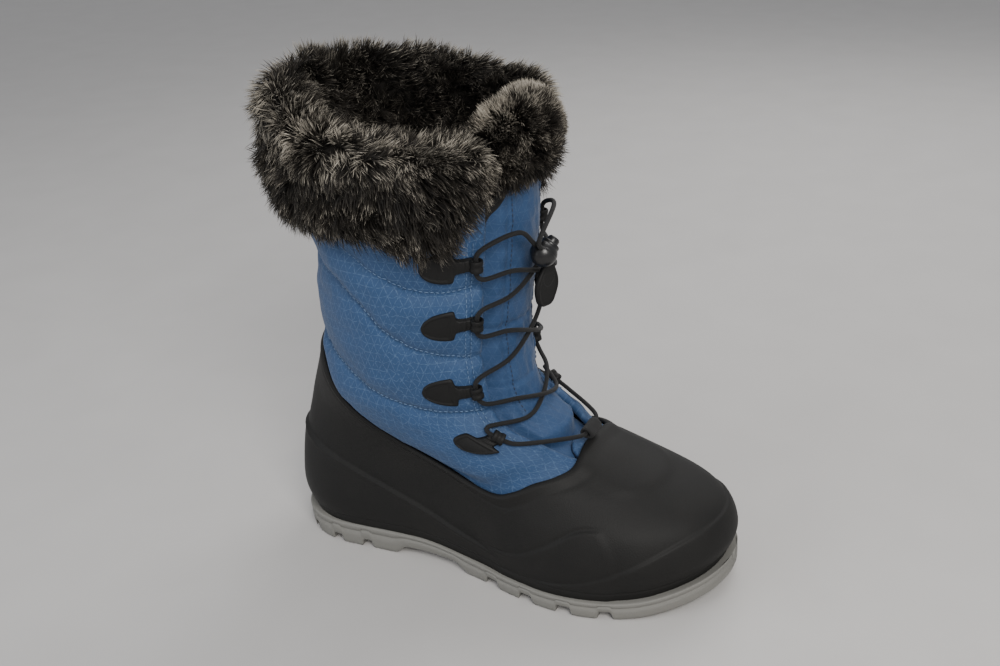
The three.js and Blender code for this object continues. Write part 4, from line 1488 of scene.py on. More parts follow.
@dataclass
class Hair:
    """Clumped tapering hairs as fine ribbons, grown from a surface of two parameters."""

    surface: Callable[[Array, Array], Array]
    flow: Callable[[Array, Array, Array], Array]
    count: int
    length: float
    width: float
    seed: int
    tuft: float = 5.0
    span: tuple[float, float] = (300.0, 120.0)
    u_range: tuple[float, float] = (0.0, 1.0)
    v_range: tuple[float, float] = (0.0, 1.0)
    # v of the crest, where the hairs carry a painted highlight band
    crest: float = 0.5

    def _frame(self, u: Array, v: Array) -> tuple[Array, Array]:
        """Points and outward normals of the surface.

        Args:
            u: first parameter.
            v: second parameter.

        Returns:
            The points and the normals.
        """
        e = 1e-3
        p = self.surface(u, v)
        a = self.surface(np.clip(u + e, 0, 1), v) - self.surface(np.clip(u - e, 0, 1), v)
        b = self.surface(u, np.clip(v + e, 0, 1)) - self.surface(u, np.clip(v - e, 0, 1))
        n = np.cross(a, b)
        n /= np.maximum(np.linalg.norm(n, axis=-1, keepdims=True), 1e-9)
        return p, n

    def grow(self, data: MeshData) -> None:
        """Adds the hairs to mesh data.

        Args:
            data: mesh data to add to.
        """
        rng = np.random.default_rng(self.seed)
        u = rng.uniform(*self.u_range, self.count)
        v = rng.uniform(*self.v_range, self.count)
        # tufts: a jittered lattice over the surface
        cu, cv = np.floor(u * self.span[0] / self.tuft), np.floor(v * self.span[1] / self.tuft)
        key = (cu * 7919 + cv * 104729).astype(np.int64)
        _, tuft = np.unique(key, return_inverse=True)
        tufts = int(tuft.max()) + 1
        jitter = rng.uniform(0.1, 0.9, (tufts, 2))
        tu = np.clip((cu + jitter[tuft, 0]) * self.tuft / self.span[0], 0, 1)
        tv = np.clip((cv + jitter[tuft, 1]) * self.tuft / self.span[1], 0, 1)
        root, normal = self._frame(u, v)
        centre, _ = self._frame(tu, tv)
        wild = rng.normal(0, 1, (tufts, 3))[tuft]
        wave = np.stack([NOISE(root[:, 0] / 15 + k * 9, root[:, 1] / 15, root[:, 2] / 15) for k in range(3)], -1)
        heading = self.flow(u, v, normal) + 0.20 * wild + 0.42 * wave
        heading /= np.linalg.norm(heading, axis=-1, keepdims=True)
        patchy = 1 + 0.28 * NOISE(root[:, 0] / 9, root[:, 1] / 9, root[:, 2] / 9 + 5)
        reach = self.length * patchy * rng.uniform(0.62, 1.12, self.count)
        own = heading + 0.22 * rng.normal(0, 1, (self.count, 3))
        own /= np.linalg.norm(own, axis=-1, keepdims=True)
        gather = centre + heading * (self.length * 1.02)
        tip = root + own * reach[:, None]
        pull = rng.uniform(0.15, 0.60, self.count)[:, None]
        tip = mix(tip, gather + rng.normal(0, 0.7, (self.count, 3)), pull)
        middle = root + (0.42 * normal + 0.58 * own) * (reach[:, None] * 0.5)
        width_dir = np.cross(own, normal + 0.6 * rng.normal(0, 1, (self.count, 3)))
        width_dir /= np.maximum(np.linalg.norm(width_dir, axis=-1, keepdims=True), 1e-9)
        points, stops = [], (0.0, 0.45, 0.8, 1.0)
        for t in stops:
            at = (1 - t) ** 2 * root + 2 * t * (1 - t) * middle + t * t * tip
            w = self.width * (1.0, 0.95, 0.6, 0.0)[stops.index(t)] / 2
            points.append(at if t == 1.0 else np.stack([at - width_dir * w, at + width_dir * w], 1).reshape(-1, 3))
        n = self.count
        k = np.arange(n)
        a0, a1 = 2 * k, 2 * k + 1
        b0, b1 = 2 * n + 2 * k, 2 * n + 2 * k + 1
        c0, c1 = 4 * n + 2 * k, 4 * n + 2 * k + 1
        top = 6 * n + k
        # each hair's tone: random by tuft and by hair, lowered everywhere, with a painted highlight band raised along
        # the crest
        tone_with_crest_highlight = rng.uniform(0.1, 0.9, tufts)[tuft] * 0.5 + rng.uniform(0, 1, n) * 0.4
        tone_with_crest_highlight = np.clip(tone_with_crest_highlight - 0.26 + 0.50 * np.exp(-(((v - self.crest) / 0.11) ** 2)), 0, 1)
        uv = [np.stack([np.repeat(tone_with_crest_highlight, 2), np.full(2 * n, t)], -1) for t in stops[:3]]
        uv.append(np.stack([tone_with_crest_highlight, np.ones(n)], -1))
        start = data.count
        quads = np.concatenate([np.stack([a0, a1, b1, b0], -1), np.stack([b0, b1, c1, c0], -1)])
        data.add(np.concatenate(points), quads, np.concatenate(uv), 1)
        data.faces.append(np.stack([c0, c1, top], -1) + start)
        data.slots.append(np.ones(n, int))


@dataclass
class FurCuff:
    """The deep fur cuff round the collar: a felted base and its hair."""

    shop: Workshop
    inset: float = 7.0
    limit: float = math.pi - 0.62
    hairs: int = 35400
    SECTION: tuple = (
        (2.0, -31), (8, -36), (16.5, -28), (19, -10), (18.5, 6), (14, 21), (6, 30),
        (-3, 31), (-11, 25), (-16, 12), (-16, -6), (-12, -15), (-6.5, -16),
    )

    def _fit(self, theta: Array, out: Array, up: Array) -> tuple[Array, Array]:
        """Fits a point of the section to its place round the collar.

        Args:
            theta: way round from the back.
            out: distance out from the shaft.
            up: height from the shaft's top.

        Returns:
            The fitted out and up.
        """
        near = np.abs(theta) / self.limit
        end = 1 - 0.35 * smooth(0.93, 1.0, near)
        deep = 1 + 0.10 * (1 - smooth(0.15, 0.75, near))
        tall = 1 + 0.16 * (1 - smooth(0.2, 0.7, near))
        low = 1 - np.where(theta > 0, 0.84 * smooth(0.10, 0.84, near), 0.16 * smooth(0.12, 0.95, near))
        # the lower edge hangs over the top tab, then climbs to the front
        hang = 8 * smooth(0.58, 0.80, near) * (1 - smooth(0.84, 0.95, near)) - 20 * smooth(0.86, 1.0, near)
        up = np.where((out > 0) & (up < -5), up - hang * smooth(-5, -20, up), up)
        out = np.where(out > 1.9, mix(1.8, out * deep, end), out)
        up = np.where(up > 0.7, mix(0.6, up * tall, end * low), up)
        return out, up

    @staticmethod
    def _rim(theta: Array) -> tuple[Array, Array]:
        """The shaft's top edge and its level outward normals.

        Args:
            theta: way round from the back.

        Returns:
            The points and the normals.
        """
        ring = np.full(theta.shape, SHAFT_TOP_RING)
        n = Last.normal(theta, ring)
        n[..., 2] = 0
        return Last.point(theta, ring), n / np.linalg.norm(n, axis=-1, keepdims=True)

    def surface(self, u: Array, v: Array, inset: float = 0.0) -> Array:
        """A point of the cuff.

        Args:
            u: way round, from the medial front end to the lateral one.
            v: way along the section, from the outer lower edge over the crest and down inside.
            inset: how far inside the pile's outer form.

        Returns:
            Points, shape (..., 3).
        """
        u, v = np.broadcast_arrays(np.asarray(u, float), np.asarray(v, float))
        theta = mix(-self.limit, self.limit, u)
        rows = np.asarray(self.SECTION, float)
        run = np.concatenate([[0], np.cumsum(np.linalg.norm(np.diff(rows, axis=0), axis=1))])
        run /= run[-1]
        table = Table(tuple(run), {"out": tuple(rows[:, 0]), "up": tuple(rows[:, 1])})
        out, up = table.read("out", v), table.read("up", v)
        if inset:
            e = 0.01
            do = table.read("out", np.clip(v + e, 0, 1)) - table.read("out", np.clip(v - e, 0, 1))
            du = table.read("up", np.clip(v + e, 0, 1)) - table.read("up", np.clip(v - e, 0, 1))
            size = np.maximum(np.hypot(do, du), 1e-9)
            fade = inset * smooth(0.0, 0.12, v) * (1 - smooth(0.9, 1.0, v))
            out, up = out - du / size * fade, up + do / size * fade
        out, up = self._fit(theta, out, up)
        rim, n = self._rim(theta)
        points = rim + n * out[..., None]
        points[..., 2] = rim[..., 2] + up
        return points

    def flow(self, u: Array, v: Array, normal: Array) -> Array:
        """Which way the pile is combed.

        Args:
            u: way round.
            v: way along the section.
            normal: the surface's normals.

        Returns:
            Heading vectors.
        """
        down = np.stack([np.zeros_like(u), np.zeros_like(u), -np.ones_like(u)], -1)
        theta = mix(-self.limit, self.limit, u)
        round_ = np.stack([np.sin(np.abs(theta)), -np.cos(theta) * np.sign(theta) * 0.4, np.zeros_like(theta)], -1)
        outer = (1 - smooth(0.40, 0.62, v))[:, None]
        low = (1 - smooth(0.0, 0.16, v))[:, None]
        return normal * (0.50 - 0.2 * low) + down * (0.42 * outer + 0.2 * low) + round_ * 0.40

    def build(self) -> None:
        """Makes the base and the hair."""
        shop = self.shop
        u = np.linspace(0, 1, 170)[None]
        v = np.linspace(0, 1, 60)[:, None]
        outer = self.surface(u, v, self.inset)
        lump = NOISE(outer[..., 0] / 6, outer[..., 1] / 6, outer[..., 2] / 6) * 0.9
        centre = outer.mean(0, keepdims=True)
        away = (outer - centre) / np.maximum(np.linalg.norm(outer - centre, axis=-1, keepdims=True), 1e-6)
        fade = (smooth(0.0, 0.1, v) * (1 - smooth(0.9, 1, v)))[..., None]
        outer = outer + away * lump[..., None] * fade
        # the slot that holds the shaft's edge, closing the section
        slot_rows = []
        theta = mix(-self.limit, self.limit, u[0])
        rim, n = self._rim(theta)
        for out, up in ((-5.0, -14.0), (-4.6, 0.7), (1.9, 0.7), (1.9, -30.0)):
            row = rim + n * out
            row[:, 2] = rim[:, 2] + self._fit(theta, np.full(theta.shape, out), np.full(theta.shape, up))[1]
            slot_rows.append(row)
        loop = np.concatenate([outer, np.stack(slot_rows)])
        rows, cols = loop.shape[:2]
        index = np.arange(rows * cols).reshape(rows, cols)
        nxt = (np.arange(rows) + 1) % rows
        quads = np.stack([index[:, :-1], index[:, 1:], index[nxt][:, 1:], index[nxt][:, :-1]], -1).reshape(-1, 4)
        data = MeshData()
        data.add(loop.reshape(-1, 3), quads)
        # the front ends are closed towards the slot, in strips across the section
        half = rows // 2
        for column in (0, cols - 1):
            ids = index[:, column]
            strip = [[ids[i], ids[i + 1], ids[rows - 2 - i], ids[rows - 1 - i]] for i in range(half - 1)]
            data.faces.append(np.asarray(strip))
            data.slots.append(np.zeros(len(strip), int))
        shop.piece("cuff_backing", data, [shop.finishes.hide], "fur", ["collar"], outward=True)
        for name, span, count, seed in (
            ("cuff_pile_outer", (0.0, 0.50), self.hairs, 11),
            ("cuff_pile_inner", (0.46, 0.985), self.hairs - 8000, 12),
        ):
            strands = MeshData()
            Hair(
                surface=lambda a, b: self.surface(a, b, self.inset + 0.6),
                flow=self.flow,
                count=count,
                length=13.0,
                width=0.42,
                seed=seed,
                tuft=4.4,
                span=(400.0, 150.0),
                v_range=span,
            ).grow(strands)
            for end, lot in ((0.0, 1), (1.0, 2)):
                self._end_hairs(strands, end, 1500, seed * 10 + lot, span)
            shop.piece(name, strands, [shop.finishes.hide, shop.finishes.hair], "fur")

    def _end_hairs(self, data: MeshData, end: float, count: int, seed: int, span: tuple[float, float]) -> None:
        """Hair on one of the cuff's two front ends.

        Args:
            data: mesh data to add to.
            end: 0 for the medial end, 1 for the lateral one.
            count: number of hairs.
            seed: random seed.
            span: the part of the section it fills.
        """
        def face(a: Array, b: Array) -> Array:
            """The end's face, from the skin to the core."""
            v = mix(span[0], span[1], a)
            skin = self.surface(np.full(v.shape, end), v, 3.0)
            core = self.surface(np.full(v.shape, end), v, 3.0)
            core[..., 2] = mix(core[..., 2], np.mean(core[..., 2]), 0.55)
            return mix(skin, core, b[..., None])

        def flow(_a: Array, _b: Array, normal: Array) -> Array:
            """Hair lies forwards and inwards."""
            ahead = np.array([0.75, -0.35 if end > 0.5 else 0.35, 0.0])
            return np.broadcast_to(ahead, normal.shape) + np.array([0, 0, -0.25])

        Hair(face, flow, count, 9.0, 0.5, seed, 4.0, (60.0, 12.0)).grow(data)


@dataclass
class TongueFur:
    """The fur at the tongue's top."""

    shop: Workshop
    half_angle: float = 0.5
    hairs: int = 21000
    SECTION: tuple = (
        (1.3, -14), (7, -13), (10, -2), (9, 12), (3, 20),
        (-6, 21), (-13, 13), (-14, 0), (-11, -12), (-6.6, -14),
    )

    def surface(self, u: Array, v: Array, inset: float = 0.0) -> Array:
        """A point of the tongue's fur.

        Args:
            u: way across.
            v: way along the section, from the front's lower edge over the top and down inside.
            inset: how far inside the pile's outer form.

        Returns:
            Points, shape (..., 3).
        """
        u, v = np.broadcast_arrays(np.asarray(u, float), np.asarray(v, float))
        w = mix(-1.0, 1.0, u)
        theta = math.pi + w * self.half_angle
        scale = np.sqrt(np.maximum(0.12, 1 - (0.95 * w) ** 2))
        rows = np.asarray(self.SECTION, float)
        run = np.concatenate([[0], np.cumsum(np.linalg.norm(np.diff(rows, axis=0), axis=1))])
        run /= run[-1]
        table = Table(tuple(run), {"out": tuple(rows[:, 0]), "up": tuple(rows[:, 1])})
        out, up = table.read("out", v), table.read("up", v)
        if inset:
            do = table.read("out", np.clip(v + 0.01, 0, 1)) - table.read("out", np.clip(v - 0.01, 0, 1))
            du = table.read("up", np.clip(v + 0.01, 0, 1)) - table.read("up", np.clip(v - 0.01, 0, 1))
            size = np.maximum(np.hypot(do, du), 1e-9)
            fade = inset * smooth(0, 0.1, v) * (1 - smooth(0.9, 1, v))
            out, up = out - du / size * fade, up + do / size * fade
        out = np.where(out > 1.3, mix(1.2, out, scale), np.where(out < -6.3, mix(-6.2, out, scale), out))
        up = np.where(up > 1.3, mix(1.2, up, scale), up)
        rim = Last.point(theta, np.full(theta.shape, TONGUE_TOP_RING))
        n = Last.normal(theta, np.full(theta.shape, TONGUE_TOP_RING))
        n[..., 2] = 0
        n /= np.linalg.norm(n, axis=-1, keepdims=True)
        points = rim + n * out[..., None]
        points[..., 2] = rim[..., 2] + up
        return points

    def build(self) -> None:
        """Makes the base and the hair."""
        shop = self.shop
        outer = self.surface(np.linspace(0, 1, 50)[None], np.linspace(0, 1, 40)[:, None], 4.0)
        rows, cols = outer.shape[:2]
        index = np.arange(rows * cols).reshape(rows, cols)
        quads = np.stack([index[:-1, :-1], index[:-1, 1:], index[1:, 1:], index[1:, :-1]], -1).reshape(-1, 4)
        close = np.stack([index[-1, :-1], index[-1, 1:], index[0, 1:], index[0, :-1]], -1)
        data = MeshData()
        data.add(outer.reshape(-1, 3), np.concatenate([quads, close]))
        for column in (0, cols - 1):
            ids = index[:, column]
            strip = [[ids[i], ids[i + 1], ids[rows - 2 - i], ids[rows - 1 - i]] for i in range(rows // 2 - 1)]
            data.faces.append(np.asarray(strip))
            data.slots.append(np.zeros(len(strip), int))
        shop.piece("tongue_fur_backing", data, [shop.finishes.hide], "fur", ["tongue_fur"], outward=True)

        def flow(u: Array, v: Array, normal: Array) -> Array:
            """Hair lies up and out, and down along the lower edge."""
            low = (1 - smooth(0.0, 0.35, v))[:, None]
            up = np.array([0.0, 0.0, 1.0])
            side = np.stack([np.zeros_like(u), mix(-1.0, 1.0, u), np.zeros_like(u)], -1)
            return normal * 0.65 + up * 0.28 * (1 - low) - up * 0.3 * low + side * 0.3

        strands = MeshData()
        Hair(lambda a, b: self.surface(a, b, 4.6), flow, self.hairs, 11.5, 0.5, 31, 4.6, (64.0, 84.0)).grow(strands)
        shop.piece("tongue_fur_pile", strands, [shop.finishes.hide, shop.finishes.hair], "fur")


# --------------------------------------------------------------------------- tabs and lace


@dataclass(frozen=True)
class TabSpot:
    """Where a lace tab's sleeve stands, and the tab's tilt."""

    ring: float
    angle: float
    tilt: float
    lean: float = 0.0


TAB_SPOTS = (
    TabSpot(8.50, 0.70, 0.02),
    TabSpot(7.53, 0.68, 0.02),
    TabSpot(6.43, 0.72, 0.04),
    TabSpot(5.36, 0.77, 0.36, 0.40),
)
CROSSING_RINGS = (8.05, 7.04, 5.94)
SLEEVE_LIFT = 3.55 + 0.8
TOE_LOOP_RING = 4.78


class TangentMap:
    """Millimetres in the tangent plane at a tab's sleeve, laid on the last."""

    def __init__(self, spot: TabSpot, side: Side) -> None:
        """Measures the last round the anchor.

        Args:
            spot: the tab's place.
            side: the boot's side.
        """
        self.mirror = 1 if side is Side.LATERAL else -1
        self.theta = math.pi - self.mirror * spot.angle
        self.spot = spot
        turn, climb = 0.01, 0.05
        beside = Last.point(self.theta + turn, spot.ring) - Last.point(self.theta - turn, spot.ring)
        above = Last.point(self.theta, spot.ring + climb) - Last.point(self.theta, spot.ring - climb)
        self.per_theta = float(np.linalg.norm(beside)) / (2 * turn)
        self.per_ring = float(np.linalg.norm(above)) / (2 * climb)

    def __call__(self, along: Array, across: Array, lift: Array) -> Array:
        """Maps local millimetres to points.

        Args:
            along: towards the front.
            across: upwards.
            lift: outward.

        Returns:
            Points, shape (..., 3).
        """
        along, across, lift = np.broadcast_arrays(*(np.asarray(v, float) for v in (along, across, lift)))
        t = self.spot.tilt
        u = along * math.cos(t) - across * math.sin(t)
        v = along * math.sin(t) + across * math.cos(t)
        return Last.lifted(self.theta + self.mirror * u / self.per_theta, self.spot.ring + v / self.per_ring, lift)


@dataclass
class LaceTab:
    """A moulded arrowhead tab whose neck ends in the sleeve that guides the lace."""

    shop: Workshop
    side: Side
    index: int
    length: float = 26.0
    PROFILE: Table = Table(
        (0.0, 0.025, 0.06, 0.18, 0.36, 0.54, 0.60, 0.635, 0.665, 0.80, 1.0),
        {"half": (0.6, 2.6, 4.2, 6.8, 8.5, 9.1, 9.0, 8.2, 4.9, 4.0, 3.9)},
    )

    def build(self) -> bpy.types.Object:
        """Makes the tab.

        Returns:
            The piece.
        """
        local = TangentMap(TAB_SPOTS[self.index], self.side)
        a = np.linspace(0, 1, 64)[:, None]
        b = np.linspace(-1, 1, 31)[None]
        half = self.PROFILE.read("half", a)
        along = (a - 1) * self.length - 1.4
        stand_off = TAB_SPOTS[self.index].lean * half * (1 - b) / 2 * (1 - smooth(0.7, 1, a))
        across = b * half
        inside = np.minimum((1 - np.abs(b)) * half, a * self.length + 0.2)
        rim = smooth(0.0, 1.0, inside)
        panel = smooth(1.7, 2.3, inside) * (1 - smooth(0.52, 0.57, a))
        crown = 1.0 - 0.55 * (b * b)
        neck = smooth(0.62, 0.70, a)
        wave = np.sin(a * self.length * 2 * math.pi / 2.6)
        bars = 0.35 * smooth(0.2, 0.6, wave) * smooth(0.70, 0.73, a) * (1 - smooth(0.88, 0.91, a))
        top = 1.9 + 1.25 * rim * crown - 0.55 * panel + 0.9 * neck * rim + bars * rim + 0.5 * smooth(0.88, 1.0, a)
        bottom = np.full(top.shape, 1.15)
        outer, inner = local(along, across, top + stand_off), local(along, across, bottom + stand_off * 0.8)
        data = MeshData()
        sheet(data, outer, inner, None, False, cloth_uv(outer))
        # the sleeve: a short thick ring that the lace runs through
        centre = local(0, 0, SLEEVE_LIFT)
        axis = local(0, 2, SLEEVE_LIFT) - local(0, -2, SLEEVE_LIFT)
        upper = [(3.35, 0.9), (3.6, 1.2), (3.6, 3.0), (3.3, 3.35), (2.6, 3.35), (2.35, 3.0)]
        profile = [(radius, -height) for radius, height in reversed(upper)] + upper
        w = axis / np.linalg.norm(axis)
        u = np.cross([0, 0, 1.0], w)
        u /= np.linalg.norm(u)
        v = np.cross(w, u)
        angle = np.linspace(0, 2 * math.pi, 28, endpoint=False)
        ring = u * np.cos(angle)[:, None] + v * np.sin(angle)[:, None]
        rows = np.asarray(profile)
        points = centre + rows[:, None, 1:2] * w + rows[:, None, 0:1] * ring[None]
        n, k = points.shape[:2]
        index = np.arange(n * k).reshape(n, k)
        up, rt = (np.arange(n) + 1) % n, (np.arange(k) + 1) % k
        quads = np.stack([index, index[:, rt], index[up][:, rt], index[up]], -1).reshape(-1, 4)
        data.add(points.reshape(-1, 3), quads)
        name = f"tab_{self.side.name.lower()}_{self.index + 1}"
        return self.shop.piece(f"lace_{name}", data, [self.shop.finishes.tab], "black_rubber", [name], outward=True)


@dataclass
class CordLock:
    """The ball cord lock with its sprung push button, the loose cord and its end tab."""

    shop: Workshop
    radius: float = 7.4
    axis: tuple[float, float, float] = (0.35, 0.72, 0.60)
    cords_way: tuple[float, float, float] = (0.1, 0.62, -0.78)
    leaf_length: float = 26.0

    @property
    def centre(self) -> Array:
        """Centre of the ball.

        Returns:
            The point.
        """
        return Last.lifted(math.pi - 0.15, 8.50, 13.5)

    @property
    def direction(self) -> Array:
        """The button's axis, pointing out.

        Returns:
            A unit vector.
        """
        a = np.asarray(self.axis)
        return a / np.linalg.norm(a)

    @property
    def through(self) -> Array:
        """The way the cords run through the ball, at right angles to the button.

        Returns:
            A unit vector, from where they go in to where they come out.
        """
        way = np.asarray(self.cords_way)
        way = way - self.direction * float(way @ self.direction)
        return way / np.linalg.norm(way)

    @property
    def aside(self) -> Array:
        """The way from one cord to the other, in the ball.

        Returns:
            A unit vector.
        """
        return np.cross(self.direction, self.through)

    @property
    def tab_top(self) -> Array:
        """Top of the end tab.

        Returns:
            The point.
        """
        return self.centre + np.array([-2.6, 10.0, -9.0])

    def loose(self) -> None:
        """Makes the loose cord: out of the ball, round inside the end tab and back into the ball."""
        down, across = self.leaf
        ends = []
        for side in (-1, 1):
            inside = self.centre + self.through * 1.0 - self.aside * side * 2.4
            leave = self.centre + self.through * (self.radius + 1.3) - self.aside * side * 2.9
            arrive = self.tab_top + np.array([0, side * 2.4, 1.9])
            bend = mix(leave, arrive, 0.5) + np.array([0.6, side * 0.7, -0.5]) - self.aside * side * 0.6
            ends.append([inside, leave, bend, arrive, self.tab_top + down * 4.0 + across * side * 3.6])
        bend = ((8.5, -4.6), (12.5, -3.2), (14.2, 0.0), (12.5, 3.2), (8.5, 4.6))
        turn = [self.tab_top + down * d + across * w for d, w in bend]
        points = ends[0] + turn + ends[1][::-1]
        path = spline(points, 0.7)
        data = MeshData()
        tube(data, path, 1.3, 12)
        ends = ["lace_end_lateral", "lace_end_medial"]
        cord = self.shop.piece("loose_cord", data, [self.shop.finishes.cord], "cord", ends, outward=True)
        placed = self.shop.place(path)

    @property
    def leaf(self) -> tuple[Array, Array]:
        """The end tab's own axes.

        Returns:
            Unit vectors down it and across it.
        """
        down, across = np.array([-0.12, -0.10, -1.0]), np.array([0.25, 0.96, -0.12])
        return down / np.linalg.norm(down), across / np.linalg.norm(across)

    def end_tab(self) -> bpy.types.Object:
        """Makes the leaf-shaped end tab.

        Returns:
            The piece.
        """
        profile = Table((0, 0.06, 0.15, 0.4, 0.6, 0.85, 0.95, 1), {"half": (2.4, 3.8, 5.2, 8.4, 9.0, 7.0, 4.8, 1.8)})
        down, across = self.leaf
        n = np.cross(across, down)
        a, b = np.linspace(0, 1, 48)[:, None], np.linspace(-1, 1, 27)[None]
        half = profile.read("half", a)
        inside = np.minimum((1 - np.abs(b)) * half, np.minimum(a, 1 - a) * self.leaf_length + 0.1)
        thick = 0.7 + 0.95 * smooth(0, 1.0, inside) - 0.4 * smooth(1.8, 2.4, inside) * smooth(0.2, 0.3, a)
        middle = self.tab_top + a[..., None] * self.leaf_length * down + (b * half)[..., None] * across
        data = MeshData()
        sheet(data, middle + n * thick[..., None], middle - n * thick[..., None], None, False, cloth_uv(middle))
        return self.shop.piece("cord_end_tab", data, [self.shop.finishes.tab], "black_rubber", ["cord_tab"], outward=True)

    def build(self) -> None:
        """Makes the lock's ball and button."""
        r = self.radius
        ball = MeshData()
        rows = [(r * math.cos(t), r * math.sin(t)) for t in np.linspace(-1.5, 0.16, 22)]
        rows += [(r * 0.965, r * 0.17), (r * 0.965, r * 0.25)]
        rows += [(r * math.cos(t), r * math.sin(t)) for t in np.linspace(0.27, 0.76, 8)]
        top = r * math.sin(0.78)
        rows += [(5.4, top + 0.3), (5.4, top + 1.2), (5.1, top + 1.7), (4.4, top + 1.8), (3.95, top + 1.5), (3.8, 1.0), (0.3, 1.0)]
        turned(ball, rows, self.centre, self.direction, 48)
        self.shop.piece("cord_lock_ball", ball, [self.shop.finishes.gloss], "gloss_plastic", ["lock_body"], outward=True)
        button = MeshData()
        stem = [(0.3, 4.4), (3.2, 4.4), (3.4, 4.7), (3.4, 9.0), (3.25, 9.7), (2.8, 10.3), (2.0, 10.5), (1.6, 10.2)]
        turned(button, stem + [(0.3, 10.1)], self.centre, self.direction, 36)
        dress = [self.shop.finishes.gloss]
        self.shop.piece("cord_lock_button", button, dress, "gloss_plastic", ["lock_button"], Body.BUTTON, outward=True)


@dataclass
class Lace:
    """The elastic lace: two zigzag halves from the lock to the toe loop."""

    shop: Workshop
    lock: CordLock
    radius: float = 1.3

    def sleeve(self, index: int, side: Side) -> list[Array]:
        """Points through a tab's sleeve, from above to below.

        Args:
            index: tab number from the top.
            side: the boot's side.

        Returns:
            Five points.
        """
        local = TangentMap(TAB_SPOTS[index], side)
        route = ((2.6, 8.4, 0.1), (0, 5, 0), (0, 0, 0), (0, -5, 0), (2.6, -8.4, 0.1))
        return [local(along, across, SLEEVE_LIFT + lift) for along, across, lift in route]

    def half(self, first: Side, over: int, start: list[Array]) -> list[Array]:
        """One half of the lace.

        Args:
            first: side of its top tab.
            over: 0 or 1, which crossings it passes over.
            start: its points at the lock.

        Returns:
            Control points.
        """
        other = Side.MEDIAL if first is Side.LATERAL else Side.LATERAL
        points = list(start)
        for i, side in enumerate((first, other, first, other)):
            points += self.sleeve(i, side)
            if i < 3:
                way = side.value
                lift = 3.4 if (i + over) % 2 else 6.2
                rise = 0.42 * (TAB_SPOTS[i].ring - TAB_SPOTS[i + 1].ring) / 2
                ring = CROSSING_RINGS[i]
                points += [
                    Last.lifted(math.pi + way * 0.36, ring + rise, 4.6),
                    Last.lifted(math.pi, ring, lift),
                    Last.lifted(math.pi - way * 0.36, ring - rise, 4.6),
                ]
        return points

    def build(self) -> bpy.types.Object:
        """Makes the lace.

        Returns:
            The piece.
        """
        lock = self.lock
        into = [lock.centre - lock.through * (lock.radius - 0.5) + lock.aside * w for w in (2.4, -2.4)]
        above = [lock.centre - lock.through * (lock.radius + 2.9) + lock.aside * w for w in (2.4, -2.4)]
        lateral = [into[0], above[0], Last.lifted(math.pi - 0.34, 8.93, 8.6)]
        medial = [into[1], above[1], Last.lifted(math.pi + 0.26, 9.0, 7.6)]
        loop = Last.lifted(math.pi, TOE_LOOP_RING, 6.6)
        a = self.half(Side.LATERAL, 0, lateral)
        b = self.half(Side.MEDIAL, 1, medial)
        foot = [loop + [-2, 13, 1], loop + [0, 8, 0], loop, loop + [0, -8, 0], loop + [-2, -13, 1]]
        line = spline(a + foot + b[::-1], 1.1)
        data = MeshData()
        tube(data, line, self.radius, 12)
        return self.shop.piece("elastic_lace", data, [self.shop.finishes.cord], "cord", ["lace"], outward=True)


@dataclass
class ToeLoop:
    """The webbing loop at the throat's foot."""

    shop: Workshop
    half: float = 7.0
    inner: float = 1.75
    thick: float = 1.5

    def build(self) -> bpy.types.Object:
        """Makes the loop.

        Returns:
            The piece.
        """
        centre = Last.lifted(math.pi, TOE_LOOP_RING, 6.6)
        n = Last.normal(math.pi, TOE_LOOP_RING)
        along = Last.point(math.pi, TOE_LOOP_RING - 0.1) - Last.point(math.pi, TOE_LOOP_RING + 0.1)
        along /= np.linalg.norm(along)
        angle = np.linspace(0, 2 * math.pi, 40, endpoint=False)
        stretch = 1 + 0.55 * np.maximum(0, np.cos(angle))
        across = np.array([-1, -0.96, -0.8, -0.4, 0, 0.4, 0.8, 0.96, 1.0]) * self.half
        bevel = np.array([0.45, 0.12, 0, 0, 0, 0, 0, 0.12, 0.45])

        def wall(radius: Array) -> Array:
            """The tape's wall at a radius, one row to each place across."""
            ring = (radius[:, None] * np.cos(angle) * stretch)[..., None] * along
            ring = ring + (radius[:, None] * np.sin(angle))[..., None] * n
            return centre + ring + across[:, None, None] * np.array([0, 1.0, 0])

        data = MeshData()
        outer = wall(self.inner + self.thick - bevel)
        sheet(data, outer, wall(self.inner + bevel * 0.5), None, True, cloth_uv(outer))
        return self.shop.piece("toe_webbing_loop", data, [self.shop.finishes.tape], "webbing", ["toe_loop"], outward=True)


